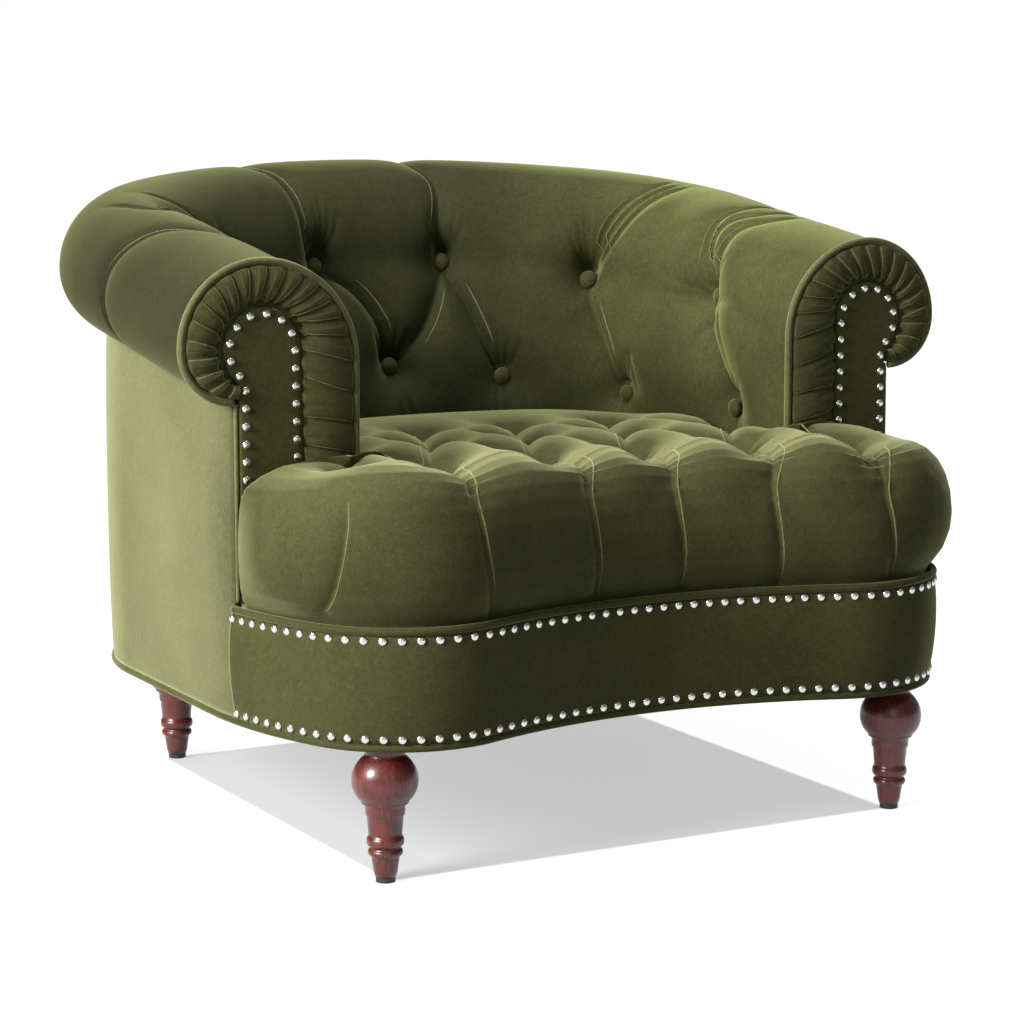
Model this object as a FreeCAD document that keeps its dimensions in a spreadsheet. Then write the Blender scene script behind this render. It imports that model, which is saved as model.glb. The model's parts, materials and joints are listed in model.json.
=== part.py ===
"""Tufted barrel armchair with a rolled back, a serpentine seat and turned legs.

Frame of reference: millimetres, +Z up, +Y towards the back, origin on the floor
under the middle of the chair's outer box.
"""
import FreeCAD, Part
import Sketcher
import math
import os
from FreeCAD import Vector

doc = FreeCAD.newDocument("tufted_accent_chair")

# Driving dimensions: alias, value, what it is
SIZES = (
    ("overall_depth", 970.0, "front of the seat bulge to the rear of the roll"),
    ("base_half_width", 456.0, "middle to the outside of the base"),
    ("base_height", 157.0, "floor to the underside of the base welt"),
    ("seat_height", 464.0, "floor to the crest of the seat, at its front"),
    ("seat_fall", 30.0, "crest of the seat to its top at the back"),
    ("seat_crest_setback", 55.0, "front of the base to the crest of the seat"),
    ("arm_height", 692.0, "floor to the top of the roll at the arm front"),
    ("back_height", 779.0, "floor to the top of the roll at the middle of the back"),
    ("shoulder_radius", 550.0, "long front corner curve of the base"),
    ("shoulder_turn", 22.0, "angle of that curve"),
    ("bulge_radius", 140.0, "front bulge of the serpentine"),
    ("recess_turn", 21.5, "angle by which the bulge turns into the recess"),
    ("corner_radius", 280.0, "rear corner curve of the base"),
    ("corner_turn", 55.0, "angle of the rear corner curve"),
    ("arm_setback", 223.0, "front of the base to the arm fronts"),
    ("seat_overhang", 20.0, "seat bulge past the base"),
    ("roll_radius", 97.0, "radius of the rolled top"),
    ("roll_inset", 39.0, "base outline to the middle line of the roll"),
    ("roll_inner_drop", 21.0, "middle of the roll to the level of its inner shoulder"),
    ("inner_reach_arm", 117.0, "middle of the roll to the inside of the arm front"),
    ("inner_reach_side", 122.0, "middle of the roll to the inside of the arm"),
    ("inner_reach_back", 98.0, "middle of the roll to the inside of the back"),
    ("well_half_width", 298.0, "middle to the inside arm at seat level"),
    ("well_back", 235.0, "origin to the inside back at seat level"),
    ("well_corner_radius", 190.0, "rear corner of the inside at seat level"),
    ("well_wall_top", 415.0, "floor to the top of the upright inside wall"),
    ("belly", 14.0, "swell of the inside pad between seat and roll"),
    ("pleat_pinch", 12.0, "how far a pleat is drawn in"),
    ("roll_pleat_pinch", 5.0, "how far a pleat is drawn in on top of the roll"),
    ("button_radius", 10.0, "covered button"),
    ("button_rise", 6.0, "height of a covered button"),
    ("button_sink", 8.0, "button seat behind the pleat"),
    ("dimple_radius", 42.0, "mouth of the dimple round a button"),
    ("upper_button_z_back", 648.0, "height of the upper buttons, back"),
    ("upper_button_z_corner", 623.0, "height of the upper buttons, corners"),
    ("upper_button_z_arm", 614.0, "height of the upper buttons, arms"),
    ("lower_button_z_back", 504.0, "height of the lower button, middle"),
    ("lower_button_z_flank", 487.0, "height of the lower buttons beside it"),
    ("lower_button_z_corner", 466.0, "height of the lower buttons, corners"),
    ("lower_button_z_arm", 470.0, "height of the lower buttons, arms"),
    ("seat_tuft_depth", 32.0, "depth of a seat tuft"),
    ("seat_tuft_radius", 42.0, "mouth of a seat tuft"),
    ("seat_tuft_pitch", 130.0, "seat tufts apart, side to side"),
    ("seat_tuft_row_gap", 183.0, "seat tuft rows apart"),
    ("seat_tuft_setback", 173.0, "front of the base to the first tuft row"),
    ("seat_pleat_depth", 7.0, "depth of a front pleat"),
    ("seat_pleat_width", 12.0, "mouth of a front pleat"),
    ("seat_gap", 8.0, "seat cushion to the inside pad"),
    ("welt_radius", 4.0, "piped welt"),
    ("cover_thickness", 5.0, "padded outer cover and apron"),
    ("seat_welt_lift", 10.0, "top of the rails to the middle of the seat welt"),
    ("rail_thickness", 15.0, "frame rails"),
    ("rail_lift", 2.0, "underside of the welt to the rails"),
    ("rail_height", 124.0, "height of the frame rails"),
    ("post_setback", 4.5, "outside of the rails to the posts"),
    ("post_depth", 39.2, "posts, outside to inside"),
    ("post_width", 25.0, "posts, along the rail"),
    ("top_rail_thickness", 22.0, "horseshoe top rail"),
    ("top_rail_drop", 11.0, "middle of the roll to the top of the rail"),
    ("board_thickness", 20.0, "scroll-shaped arm board"),
    ("arm_skin", 6.0, "padding round the arm board"),
    ("panel_thickness", 6.0, "keyhole panel of the arm front"),
    ("border_thickness", 12.0, "ruched border of the arm front"),
    ("border_margin", 3.0, "roll outline to the border"),
    ("keyhole_radius", 47.5, "head of the keyhole panel"),
    ("keyhole_centre_x", 417.0, "middle to the head of the keyhole panel"),
    ("keyhole_centre_z", 590.0, "floor to the middle of the keyhole head"),
    ("keyhole_foot_x", 445.0, "middle to the neck's outer edge, at the foot"),
    ("keyhole_neck_x", 445.0, "middle to the neck's outer edge, at the head"),
    ("keyhole_inner_foot_x", 366.0, "middle to the neck's inner edge, at the foot"),
    ("keyhole_foot_z", 330.0, "floor to the foot of the arm-front pieces"),
    ("nail_radius", 4.75, "decorative nail head"),
    ("nail_rise", 2.6, "height of a nail head"),
    ("nail_pitch", 20.0, "nails apart"),
    ("nail_margin", 7.0, "nails to the edge of the panel"),
    ("nail_row_gap", 11.0, "welt middle to the nail row"),
    ("nail_lowest_z", 400.0, "floor to the lowest arm nail"),
    ("web_width", 60.0, "seat webbing"),
    ("web_thickness", 2.0, "seat webbing"),
    ("web_pitch", 85.0, "seat webbing apart"),
    ("web_end_margin", 8.0, "base outline to the end of the webbing"),
    ("cloth_thickness", 1.0, "seat deck cloth"),
    ("backing_thickness", 1.5, "backing cloth inside the posts"),
    ("dust_thickness", 1.6, "dust cover"),
    ("dust_margin", 9.0, "base outline to the dust cover"),
    ("fit_gap", 0.3, "clearance between pieces that meet"),
    ("pad_gap", 1.0, "clearance of the pad round the frame"),
    ("front_leg_inset", 39.6, "front bulge of the base to the middle of a front leg"),
    ("front_leg_bearing", 53.4, "angle on the bulge at which a front leg stands"),
    ("rear_leg_inset", 52.3, "rear corner of the base to the middle of a rear leg"),
    ("rear_leg_bearing", 49.5, "angle on the corner at which a rear leg stands"),
    ("leg_ball_radius", 37.6, "widest part of a leg"),
    ("glide_radius", 11.2, "foot glide"),
    ("glide_height", 6.0, "foot glide"),
    ("bolt_radius", 4.0, "hanger bolt"),
    ("bolt_length", 78.0, "hanger bolt"),
    ("bolt_clearance", 0.1, "hanger bolt in its holes"),
    ("leg_bore_depth", 35.0, "bolt hole of a leg"),
    ("block_size", 96.0, "corner block, across"),
    ("block_height", 46.0, "corner block"),
    ("nut_flange_radius", 9.0, "T-nut"),
    ("nut_flange_thickness", 1.6, "T-nut"),
    ("nut_barrel_radius", 5.4, "T-nut"),
    ("nut_barrel_length", 11.0, "T-nut"),
    ("cut_overrun", 40.0, "how far a cutting solid runs past its work"),
)

sheet = doc.addObject("Spreadsheet::Sheet", "sizes")
for row, (alias, value, note) in enumerate(SIZES, start=1):
    sheet.set(f"A{row}", note)
    sheet.set(f"B{row}", str(value))
    sheet.setAlias(f"B{row}", alias)
doc.recompute()


def size(alias):
    """Value of a driving dimension."""
    return float(sheet.get(alias))


# Sizes that several pieces follow
HALF_DEPTH = size("overall_depth") / 2
HALF_WIDTH = size("base_half_width")
GAP = size("fit_gap")
COVER = size("cover_thickness")
WELT = size("welt_radius")
ROLL = size("roll_radius")
ROLL_INSET = size("roll_inset")
BASE_FRONT = -(HALF_DEPTH - size("seat_overhang"))
BASE_BACK = HALF_DEPTH - ROLL + ROLL_INSET
SEAT_CREST = BASE_FRONT + size("seat_crest_setback")
ARM_FRONT = BASE_FRONT + size("arm_setback")
BOARD_FRONT = ARM_FRONT + size("panel_thickness")
BOARD_REAR = BOARD_FRONT + size("board_thickness")
RAIL_OUTER = COVER + GAP
RAIL_INNER = RAIL_OUTER + size("rail_thickness")
RAIL_BOTTOM = size("base_height") + size("rail_lift")
RAIL_TOP = RAIL_BOTTOM + size("rail_height")
DECK = RAIL_TOP + size("web_thickness") + size("cloth_thickness")
BASE_WELT_Z = size("base_height") + WELT
SEAT_WELT_Z = RAIL_TOP + size("seat_welt_lift")
APRON_BOTTOM = BASE_WELT_Z + WELT + GAP
APRON_TOP = SEAT_WELT_Z - WELT - GAP

# Middle line of the roll: level from side to side, rising to the back
ROLL_BACK = BASE_BACK - ROLL_INSET
ROLL_Z_ARM = size("arm_height") - ROLL
ROLL_Z_BACK = size("back_height") - ROLL
RISE = (ROLL_Z_BACK - ROLL_Z_ARM) / (ROLL_BACK - ARM_FRONT)

# Distances outward from the middle line of the roll
COVER_OUT = ROLL_INSET
COVER_IN = ROLL_INSET - COVER
POST_OUT = ROLL_INSET - RAIL_OUTER - size("post_setback")
POST_IN = POST_OUT - size("post_depth")
BACKING_OUT = POST_IN - GAP
BACKING_IN = BACKING_OUT - size("backing_thickness")
PAD_WALL = BACKING_IN - size("pad_gap")
LIP_DROP = math.sqrt(ROLL ** 2 - COVER_OUT ** 2)

# Outline points, as shares of the sizes that they follow
LEG_LINE_SHARES = (
    (0.319, 0.038), (0.426, 0.190), (0.447, 0.248), (0.465, 0.260), (0.503, 0.334),
    (0.553, 0.478), (0.715, 0.573), (0.625, 0.912), (0.660, 1.0),
)
LEG_ARC_SHARES = {
    1: (0.529, 0.218), 3: (0.566, 0.297), 5: (0.601, 0.530), 6: (1.0, 0.740),
}
LEG_ARC_RUNS = {1: 2, 3: 2, 5: 2, 6: 5}
UPPER_BUTTON_SHARES = (0.123, 0.389, 0.763)
LOWER_BUTTON_SHARES = (0.0, 0.223, 0.543, 0.855)
PLAIN_STATION_SHARES = (0.065, 0.320, 0.465, 0.660, 0.925)
POST_SHARES = (0.142, 0.415, 0.640, 0.870)
SEAT_PLEAT_SHARES = (0.10, 0.33, 0.66)
SEAT_FOOT_SHARES = (2.0, 1.5)
SEAT_BODY_SHARES = (
    (0.11, -0.50, 0.0), (0.45, -1.0, 0.0), (0.71, -0.50, 0.0), (0.90, 1.1, 0.4),
    (1.0, 4.2, 1.6),
)


def roll_z(y, level):
    """Height of a point that lies `level` above the tilted plane of the roll."""
    return ROLL_Z_ARM + RISE * (y - ARM_FRONT) + level


def polar(centre, radius, degrees):
    """Point on a level circle."""
    turn = math.radians(degrees)
    return centre + Vector(radius * math.cos(turn), radius * math.sin(turn), 0)


def arc(centre, radius, start, end):
    """Level arc from one angle to another."""
    middle = polar(centre, radius, (start + end) / 2)
    return Part.Arc(polar(centre, radius, start), middle, polar(centre, radius, end)).toShape()


def mirrored(point):
    """The same point on the other side of the chair."""
    return Vector(-point.x, point.y, point.z)


class Horseshoe:
    """Curve of straight sides, two corner arcs and one back arc."""

    def __init__(self, half_width, back, corner_radius):
        turn = math.radians(size("corner_turn"))
        self.turn = size("corner_turn")
        self.half_width = half_width
        self.back = back
        self.corner_radius = corner_radius
        spread = half_width - corner_radius
        self.back_radius = corner_radius + spread / math.cos(turn)
        self.corner = Vector(spread, back - self.back_radius + spread * math.tan(turn), 0)
        self.centre = Vector(0, back - self.back_radius, 0)

    def inset(self, distance):
        """The same curve, moved inward."""
        return Horseshoe(self.half_width - distance, self.back - distance,
                         self.corner_radius - distance)

    def edges(self, front, z):
        """Edges from the right front end round the back to the left front end."""
        lift = Vector(0, 0, z)
        right = Vector(self.half_width, front, z)
        bend = Vector(self.half_width, self.corner.y, z)
        other = mirrored(self.corner)
        return [
            Part.LineSegment(right, bend).toShape(),
            arc(self.corner + lift, self.corner_radius, 0, self.turn),
            arc(self.centre + lift, self.back_radius, self.turn, 180 - self.turn),
            arc(other + lift, self.corner_radius, 180 - self.turn, 180),
            Part.LineSegment(mirrored(bend), mirrored(right)).toShape(),
        ]

    def lengths(self):
        """Arc lengths from the back's middle to the end of each curved stretch."""
        first = self.back_radius * math.radians(90 - self.turn)
        return first, first + self.corner_radius * math.radians(self.turn)

    def half_length(self, front):
        """Length from the back's middle to a front end."""
        return self.lengths()[1] + self.corner.y - front

    def station(self, distance):
        """Point and outward direction at a distance from the back's middle.

        Negative distances lie on the left.
        """
        first, second = self.lengths()
        run = abs(distance)
        if run <= first:
            angle = 90 - math.degrees(run / self.back_radius)
            point = polar(self.centre, self.back_radius, angle)
        elif run <= second:
            angle = self.turn - math.degrees((run - first) / self.corner_radius)
            point = polar(self.corner, self.corner_radius, angle)
        else:
            angle = 0
            point = Vector(self.half_width, self.corner.y - (run - second), 0)
        outward = polar(Vector(), 1, angle)
        if distance < 0:
            return mirrored(point), mirrored(outward)
        return point, outward

    def reach(self, point, inward):
        """Distance from an outer point along a direction to this curve."""
        low, high = 0.0, self.half_width
        while high - low > size("fit_gap") / 100:
            middle = (low + high) / 2
            if self.holds(point + inward * middle):
                high = middle
            else:
                low = middle
        return high

    def holds(self, point):
        """Whether a level point lies inside the curve."""
        x, y = abs(point.x), point.y
        if y <= self.corner.y:
            return x <= self.half_width
        from_corner = Vector(x, y, 0) - self.corner
        if math.degrees(math.atan2(from_corner.y, from_corner.x)) <= self.turn:
            return from_corner.Length <= self.corner_radius
        return (Vector(x, y, 0) - self.centre).Length <= self.back_radius


class Serpentine:
    """Front curve of shoulder, bulge and recess, the same on both sides."""

    def __init__(self, distance=0.0):
        shoulder_turn = size("shoulder_turn")
        self.distance = distance
        self.shoulder_radius = size("shoulder_radius") - distance
        self.bulge_radius = size("bulge_radius") - distance
        spread = size("shoulder_radius") - size("bulge_radius")
        self.bulge_start = -shoulder_turn
        self.bulge_end = -90 - size("recess_turn")
        self.bulge = Vector(HALF_WIDTH - size("shoulder_radius")
                            + spread * math.cos(math.radians(shoulder_turn)),
                            BASE_FRONT + size("bulge_radius"), 0)
        self.shoulder = polar(self.bulge, -spread, self.bulge_start)
        reach = self.bulge.x / math.sin(math.radians(size("recess_turn")))
        self.recess = polar(self.bulge, reach, self.bulge_end)
        self.recess_radius = reach - size("bulge_radius") + distance

    def shoulder_angle(self, y):
        """Angle on the shoulder at which the curve crosses a depth."""
        return math.degrees(math.asin((y - self.shoulder.y) / self.shoulder_radius))

    def start(self, y, z):
        """Right end of the curve at a depth."""
        point = polar(self.shoulder, self.shoulder_radius, self.shoulder_angle(y))
        return point + Vector(0, 0, z)

    def edges(self, y, z):
        """Edges from the left end to the right end, both at depth y."""
        lift = Vector(0, 0, z)
        opening = self.shoulder_angle(y)
        spread = size("recess_turn")
        right = [
            arc(self.bulge + lift, self.bulge_radius, self.bulge_end, self.bulge_start),
            arc(self.shoulder + lift, self.shoulder_radius, self.bulge_start, opening),
        ]
        left = [
            arc(mirrored(self.shoulder) + lift, self.shoulder_radius,
                180 - opening, 180 - self.bulge_start),
            arc(mirrored(self.bulge) + lift, self.bulge_radius,
                180 - self.bulge_start, 180 - self.bulge_end),
        ]
        middle = arc(self.recess + lift, self.recess_radius, 90 + spread, 90 - spread)
        return left + [middle] + right

    def runs(self, y):
        """Lengths of recess, bulge and shoulder from the middle to depth y."""
        shoulder_span = math.radians(self.shoulder_angle(y) - self.bulge_start)
        bulge_span = math.radians(self.bulge_start - self.bulge_end)
        recess_span = math.radians(size("recess_turn"))
        return (self.recess_radius * recess_span, self.bulge_radius * bulge_span,
                self.shoulder_radius * shoulder_span)

    def walk(self, y, pitch):
        """Points and outward directions along the curve, evenly spaced."""
        runs = self.runs(y)
        count = int(2 * sum(runs) / pitch)
        step = 2 * sum(runs) / count
        places = []
        for index in range(count + 1):
            run = index * step - sum(runs)
            places.append(self.place(run, runs))
        return places

    def place(self, run, runs):
        """Point and outward direction at a distance from the middle of the front."""
        away = min(abs(run), sum(runs))
        if away <= runs[0]:
            angle = 90 - math.degrees(away / self.recess_radius)
            point = polar(self.recess, self.recess_radius, angle)
            outward = polar(Vector(), -1, angle)
        elif away <= runs[0] + runs[1]:
            angle = self.bulge_end + math.degrees((away - runs[0]) / self.bulge_radius)
            point = polar(self.bulge, self.bulge_radius, angle)
            outward = polar(Vector(), 1, angle)
        else:
            past = away - runs[0] - runs[1]
            angle = self.bulge_start + math.degrees(past / self.shoulder_radius)
            point = polar(self.shoulder, self.shoulder_radius, angle)
            outward = polar(Vector(), 1, angle)
        if run < 0:
            return mirrored(point), mirrored(outward)
        return point, outward


BASE = Horseshoe(HALF_WIDTH, BASE_BACK, size("corner_radius"))
ROLL_LINE = BASE.inset(ROLL_INSET)
WELL = Horseshoe(size("well_half_width"), size("well_back"), size("well_corner_radius"))
ROLL_HALF = ROLL_LINE.half_length(ARM_FRONT)


def base_wire(distance, z):
    """Closed outline of the whole base, moved inward."""
    front = Serpentine(distance)
    seam = front.shoulder.y
    return Part.Wire(Part.__sortEdges__(front.edges(seam, z)
                                        + BASE.inset(distance).edges(seam, z)))


def horseshoe_wire(outer, inner, front, z):
    """Closed band between two insets of the base, open to the front."""
    outside = BASE.inset(outer).edges(front, z)
    inside = BASE.inset(inner).edges(front, z)
    ends = []
    for side in (1, -1):
        a = Vector(side * (HALF_WIDTH - outer), front, z)
        b = Vector(side * (HALF_WIDTH - inner), front, z)
        ends.append(Part.LineSegment(a, b).toShape())
    return Part.Wire(Part.__sortEdges__(outside + inside + ends))


def front_band_wire(outer, inner, y, z):
    """Closed band between two insets of the serpentine front."""
    ends = []
    for side in (1, -1):
        a = Serpentine(outer).start(y, z)
        b = Serpentine(inner).start(y, z)
        ends.append(Part.LineSegment(Vector(side * a.x, a.y, z),
                                     Vector(side * b.x, b.y, z)).toShape())
    return Part.Wire(Part.__sortEdges__(Serpentine(outer).edges(y, z)
                                        + Serpentine(inner).edges(y, z) + ends))


def prism(wire, height):
    """Upright solid over a closed level wire."""
    return Part.Face(wire).extrude(Vector(0, 0, height))


def box(low, high):
    """Block between two corners."""
    span = high - low
    return Part.makeBox(span.x, span.y, span.z, low)


def tilted_slab(bottom, top):
    """Slab between two levels that follow the rise of the roll."""
    reach = HALF_DEPTH + size("cut_overrun")
    corners = []
    for y, level in ((-reach, bottom), (reach, bottom), (reach, top), (-reach, top)):
        corners.append(Vector(-reach - HALF_WIDTH, y, roll_z(y, level)))
    profile = Part.Face(Part.makePolygon(corners + corners[:1]))
    return profile.extrude(Vector(2 * (reach + HALF_WIDTH), 0, 0))


PIECES = []
CORD_FLATS = 8
NAIL_FLATS = 8
BUTTON_FLATS = 16
NAIL_TIERS = ((1.0, 0.0),)
BUTTON_TIERS = ((1.0, 0.0), (0.85, 0.45), (0.5, 0.85))


def keep(obj, label):
    """Register a finished piece under its name."""
    obj.Label = label
    PIECES.append(obj)
    return obj


def shaped(label, shape):
    """Piece whose form comes from the driving dimensions through curves or lofts."""
    obj = doc.addObject("Part::Feature", label)
    obj.Shape = shape
    return keep(obj, label)


def round_bar(name, radius, height):
    """Upright cylinder bound to the driving dimensions."""
    obj = doc.addObject("Part::Cylinder", name)
    obj.setExpression("Radius", radius)
    obj.setExpression("Height", height)
    return obj


# Legs, glides and the fasteners that hold them
FRONT_LEG = polar(Serpentine().bulge, size("bulge_radius") - size("front_leg_inset"),
                  -size("front_leg_bearing"))
REAR_LEG = polar(BASE.corner, size("corner_radius") - size("rear_leg_inset"),
                 size("rear_leg_bearing"))
LEG_PLACES = {
    "front_left": (-FRONT_LEG.x, FRONT_LEG.y),
    "front_right": (FRONT_LEG.x, FRONT_LEG.y),
    "rear_left": (-REAR_LEG.x, REAR_LEG.y),
    "rear_right": (REAR_LEG.x, REAR_LEG.y),
}
LEG_TOP = RAIL_BOTTOM


def origin_plane(body, role):
    """One of a body's own origin planes."""
    return [feature for feature in body.Origin.OriginFeatures if feature.Role == role][0]


def chain_sketch(body, name, role, chain):
    """Closed sketch of straight runs through points."""
    sketch = body.newObject("Sketcher::SketchObject", name)
    sketch.AttachmentSupport = [(origin_plane(body, role), "")]
    sketch.MapMode = "FlatFace"
    for index, start in enumerate(chain):
        end = chain[(index + 1) % len(chain)]
        sketch.addGeometry(Part.LineSegment(start, end), False)
    for index in range(len(chain)):
        previous = (index - 1) % len(chain)
        sketch.addConstraint(Sketcher.Constraint(
            "Coincident", previous, vertex_at(sketch, previous, chain[index]),
            index, vertex_at(sketch, index, chain[index])))
    return sketch


def vertex_at(sketch, index, point):
    """Number of the end of a sketch segment that lies at a point."""
    to_start = sketch.getPoint(index, 1).distanceToPoint(point)
    to_end = sketch.getPoint(index, 2).distanceToPoint(point)
    return 1 if to_start <= to_end else 2


def pin_point(sketch, index, point, x_expression, y_expression):
    """Tie the start of a sketch segment to two expressions."""
    vertex = vertex_at(sketch, index, point)
    for kind, value, expression in (("DistanceX", point.x, x_expression),
                                    ("DistanceY", point.y, y_expression)):
        number = sketch.addConstraint(
            Sketcher.Constraint(kind, -1, 1, index, vertex, value))
        sketch.setExpression(f"Constraints[{number}]", expression)


def pin_axis(sketch, index, point, y_expression):
    """Hold the start of a sketch segment on the upright axis at a driven height."""
    vertex = vertex_at(sketch, index, point)
    sketch.addConstraint(Sketcher.Constraint("PointOnObject", index, vertex, -2))
    number = sketch.addConstraint(
        Sketcher.Constraint("DistanceY", -1, 1, index, vertex, point.y))
    sketch.setExpression(f"Constraints[{number}]", y_expression)


def leg_profile(radius):
    """Outline of a turned leg from foot to top, round stretches in short runs."""
    def at(shares):
        return Vector(shares[0] * radius, shares[1] * LEG_TOP, 0)

    points = []
    for index, shares in enumerate(LEG_LINE_SHARES):
        points.append(at(shares))
        if index in LEG_ARC_SHARES:
            bead = Part.Arc(at(shares), at(LEG_ARC_SHARES[index]),
                            at(LEG_LINE_SHARES[index + 1])).toShape()
            points += bead.discretize(Number=LEG_ARC_RUNS[index] + 1)[1:-1]
    return points


def leg_body(label):
    """Turned leg: a revolved profile with the bore for its bolt."""
    body = doc.addObject("PartDesign::Body", label)
    radius = size("leg_ball_radius")
    bore = size("bolt_radius") + size("bolt_clearance")
    bore_floor = LEG_TOP - size("leg_bore_depth")
    height_cell = "(sizes.base_height + sizes.rail_lift)"
    bore_cell = "sizes.bolt_radius + sizes.bolt_clearance"
    floor_cell = f"{height_cell} - sizes.leg_bore_depth"
    profile = leg_profile(radius)
    foot = Vector(profile[0].x, size("glide_height"), 0)
    chain = [Vector(0, foot.y, 0), foot] + profile[1:]
    chain += [Vector(bore, LEG_TOP, 0), Vector(bore, bore_floor, 0), Vector(0, bore_floor, 0)]
    sketch = chain_sketch(body, label + "_profile", "XZ_Plane", chain)
    pin_axis(sketch, 0, chain[0], "sizes.glide_height")
    pin_point(sketch, 1, chain[1], f"sizes.leg_ball_radius * {foot.x / radius}",
              "sizes.glide_height")
    for index, place in enumerate(profile[1:], start=2):
        pin_point(sketch, index, place, f"sizes.leg_ball_radius * {place.x / radius}",
                  f"{height_cell} * {place.y / LEG_TOP}")
    last = len(profile) + 1
    pin_point(sketch, last, chain[last], bore_cell, height_cell)
    pin_point(sketch, last + 1, chain[last + 1], bore_cell, floor_cell)
    pin_axis(sketch, last + 2, chain[last + 2], floor_cell)
    turning = body.newObject("PartDesign::Revolution", label + "_turning")
    turning.Profile = sketch
    turning.ReferenceAxis = (sketch, ["V_Axis"])
    turning.Angle = 360
    body.Tip = turning
    return body


def make_legs():
    """Turned legs, a front and a rear pair, and a glide under each."""
    legs = {"front": [], "rear": []}
    for name, (x, y) in LEG_PLACES.items():
        leg = leg_body(name + "_leg")
        leg.Placement = FreeCAD.Placement(Vector(x, y, 0), FreeCAD.Rotation())
        legs[name.split("_")[0]].append(leg)
        glide = round_bar(name + "_glide", "sizes.glide_radius", "sizes.glide_height")
        glide.Placement = FreeCAD.Placement(Vector(x, y, 0), FreeCAD.Rotation())
        keep(glide, name + "_glide")
    for end, bodies in legs.items():
        pair = doc.addObject("Part::Compound", end + "_legs")
        pair.Links = bodies
        keep(pair, end + "_legs")


def make_blocks():
    """Corner blocks over the legs, bored for the bolts and their nuts."""
    side = size("block_size") / 2
    inside = prism(base_wire(RAIL_INNER + GAP, RAIL_BOTTOM), size("block_height"))
    hole = size("bolt_radius") + size("bolt_clearance")
    barrel = size("nut_barrel_radius") + size("bolt_clearance")
    top = RAIL_BOTTOM + size("block_height")
    for name, (x, y) in LEG_PLACES.items():
        block = box(Vector(x - side, y - side, RAIL_BOTTOM), Vector(x + side, y + side, top))
        bore = Part.makeCylinder(hole, size("block_height"), Vector(x, y, RAIL_BOTTOM))
        depth = size("nut_barrel_length")
        pocket = Part.makeCylinder(barrel, depth, Vector(x, y, top - depth))
        shaped(name + "_corner_block", block.common(inside).cut(bore).cut(pocket))


def make_leg_fasteners():
    """Hanger bolts and the T-nuts that they thread into."""
    bolts = []
    nuts = []
    top = RAIL_BOTTOM + size("block_height")
    bolt_foot = LEG_TOP - size("leg_bore_depth")
    bore = size("bolt_radius") + size("bolt_clearance")
    barrel = size("nut_barrel_radius")
    flange = size("nut_flange_radius")
    under = top - size("nut_barrel_length")
    over = top + size("nut_flange_thickness")
    outline = [Vector(bore, 0, under), Vector(barrel, 0, under), Vector(barrel, 0, top),
               Vector(flange, 0, top), Vector(flange, 0, over), Vector(bore, 0, over)]
    nut = Part.Face(Part.makePolygon(outline + outline[:1])).revolve(
        Vector(), Vector(0, 0, 1), 360)
    for x, y in LEG_PLACES.values():
        bolts.append(Part.makeCylinder(size("bolt_radius"), size("bolt_length"),
                                       Vector(x, y, bolt_foot)))
        nuts.append(nut.translated(Vector(x, y, 0)))
    shaped("hanger_bolts", Part.makeCompound(bolts))
    shaped("leg_t_nuts", Part.makeCompound(nuts))


def make_rails():
    """Serpentine front rail, straight side rails and bent rear rail."""
    ring = prism(base_wire(RAIL_OUTER, RAIL_BOTTOM), size("rail_height")).cut(
        prism(base_wire(RAIL_INNER, RAIL_BOTTOM), size("rail_height")))
    reach = HALF_DEPTH + HALF_WIDTH
    low, high = RAIL_BOTTOM, RAIL_TOP
    bend = BASE.corner.y
    parts = {
        "front_rail": (Vector(-reach, -reach, low), Vector(reach, BOARD_REAR, high)),
        "left_rail": (Vector(-reach, BOARD_REAR, low), Vector(0, bend, high)),
        "right_rail": (Vector(0, BOARD_REAR, low), Vector(reach, bend, high)),
        "rear_rail": (Vector(-reach, bend, low), Vector(reach, reach, high)),
    }
    for label, (near, far) in parts.items():
        shaped(label, ring.common(box(near, far)))


def make_posts():
    """Posts between the rails and the top rail, cut to its rise."""
    top = tilted_slab(-size("top_rail_drop") - size("top_rail_thickness"),
                      HALF_DEPTH + HALF_WIDTH)
    half_length = ROLL_LINE.half_length(BOARD_REAR)
    for side, name in ((-1, "left"), (1, "right")):
        for index, share in enumerate(POST_SHARES, start=1):
            point, outward = ROLL_LINE.station(side * share * half_length)
            across = size("post_width")
            post = Part.makeBox(size("post_depth"), across, size("back_height"),
                                Vector(POST_IN, -across / 2, 0))
            post.rotate(Vector(), Vector(0, 0, 1),
                        math.degrees(math.atan2(outward.y, outward.x)))
            post.translate(Vector(point.x, point.y, RAIL_TOP))
            shaped(f"{name}_post_{index}", post.cut(top))


def make_top_rail():
    """Horseshoe board that carries the roll."""
    band = prism(horseshoe_wire(ROLL_INSET - POST_OUT, ROLL_INSET - POST_IN,
                                BOARD_REAR, RAIL_TOP), size("back_height"))
    slab = tilted_slab(-size("top_rail_drop") - size("top_rail_thickness"),
                       -size("top_rail_drop"))
    shaped("top_rail", band.common(slab))


def make_backing():
    """Cloth stretched on the inside of the posts."""
    band = prism(horseshoe_wire(ROLL_INSET - BACKING_OUT, ROLL_INSET - BACKING_IN,
                                BOARD_REAR, DECK + GAP), size("back_height"))
    above = tilted_slab(-size("top_rail_drop") - size("top_rail_thickness"),
                        HALF_DEPTH + HALF_WIDTH)
    shaped("backing_cloth", band.cut(above))


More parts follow.
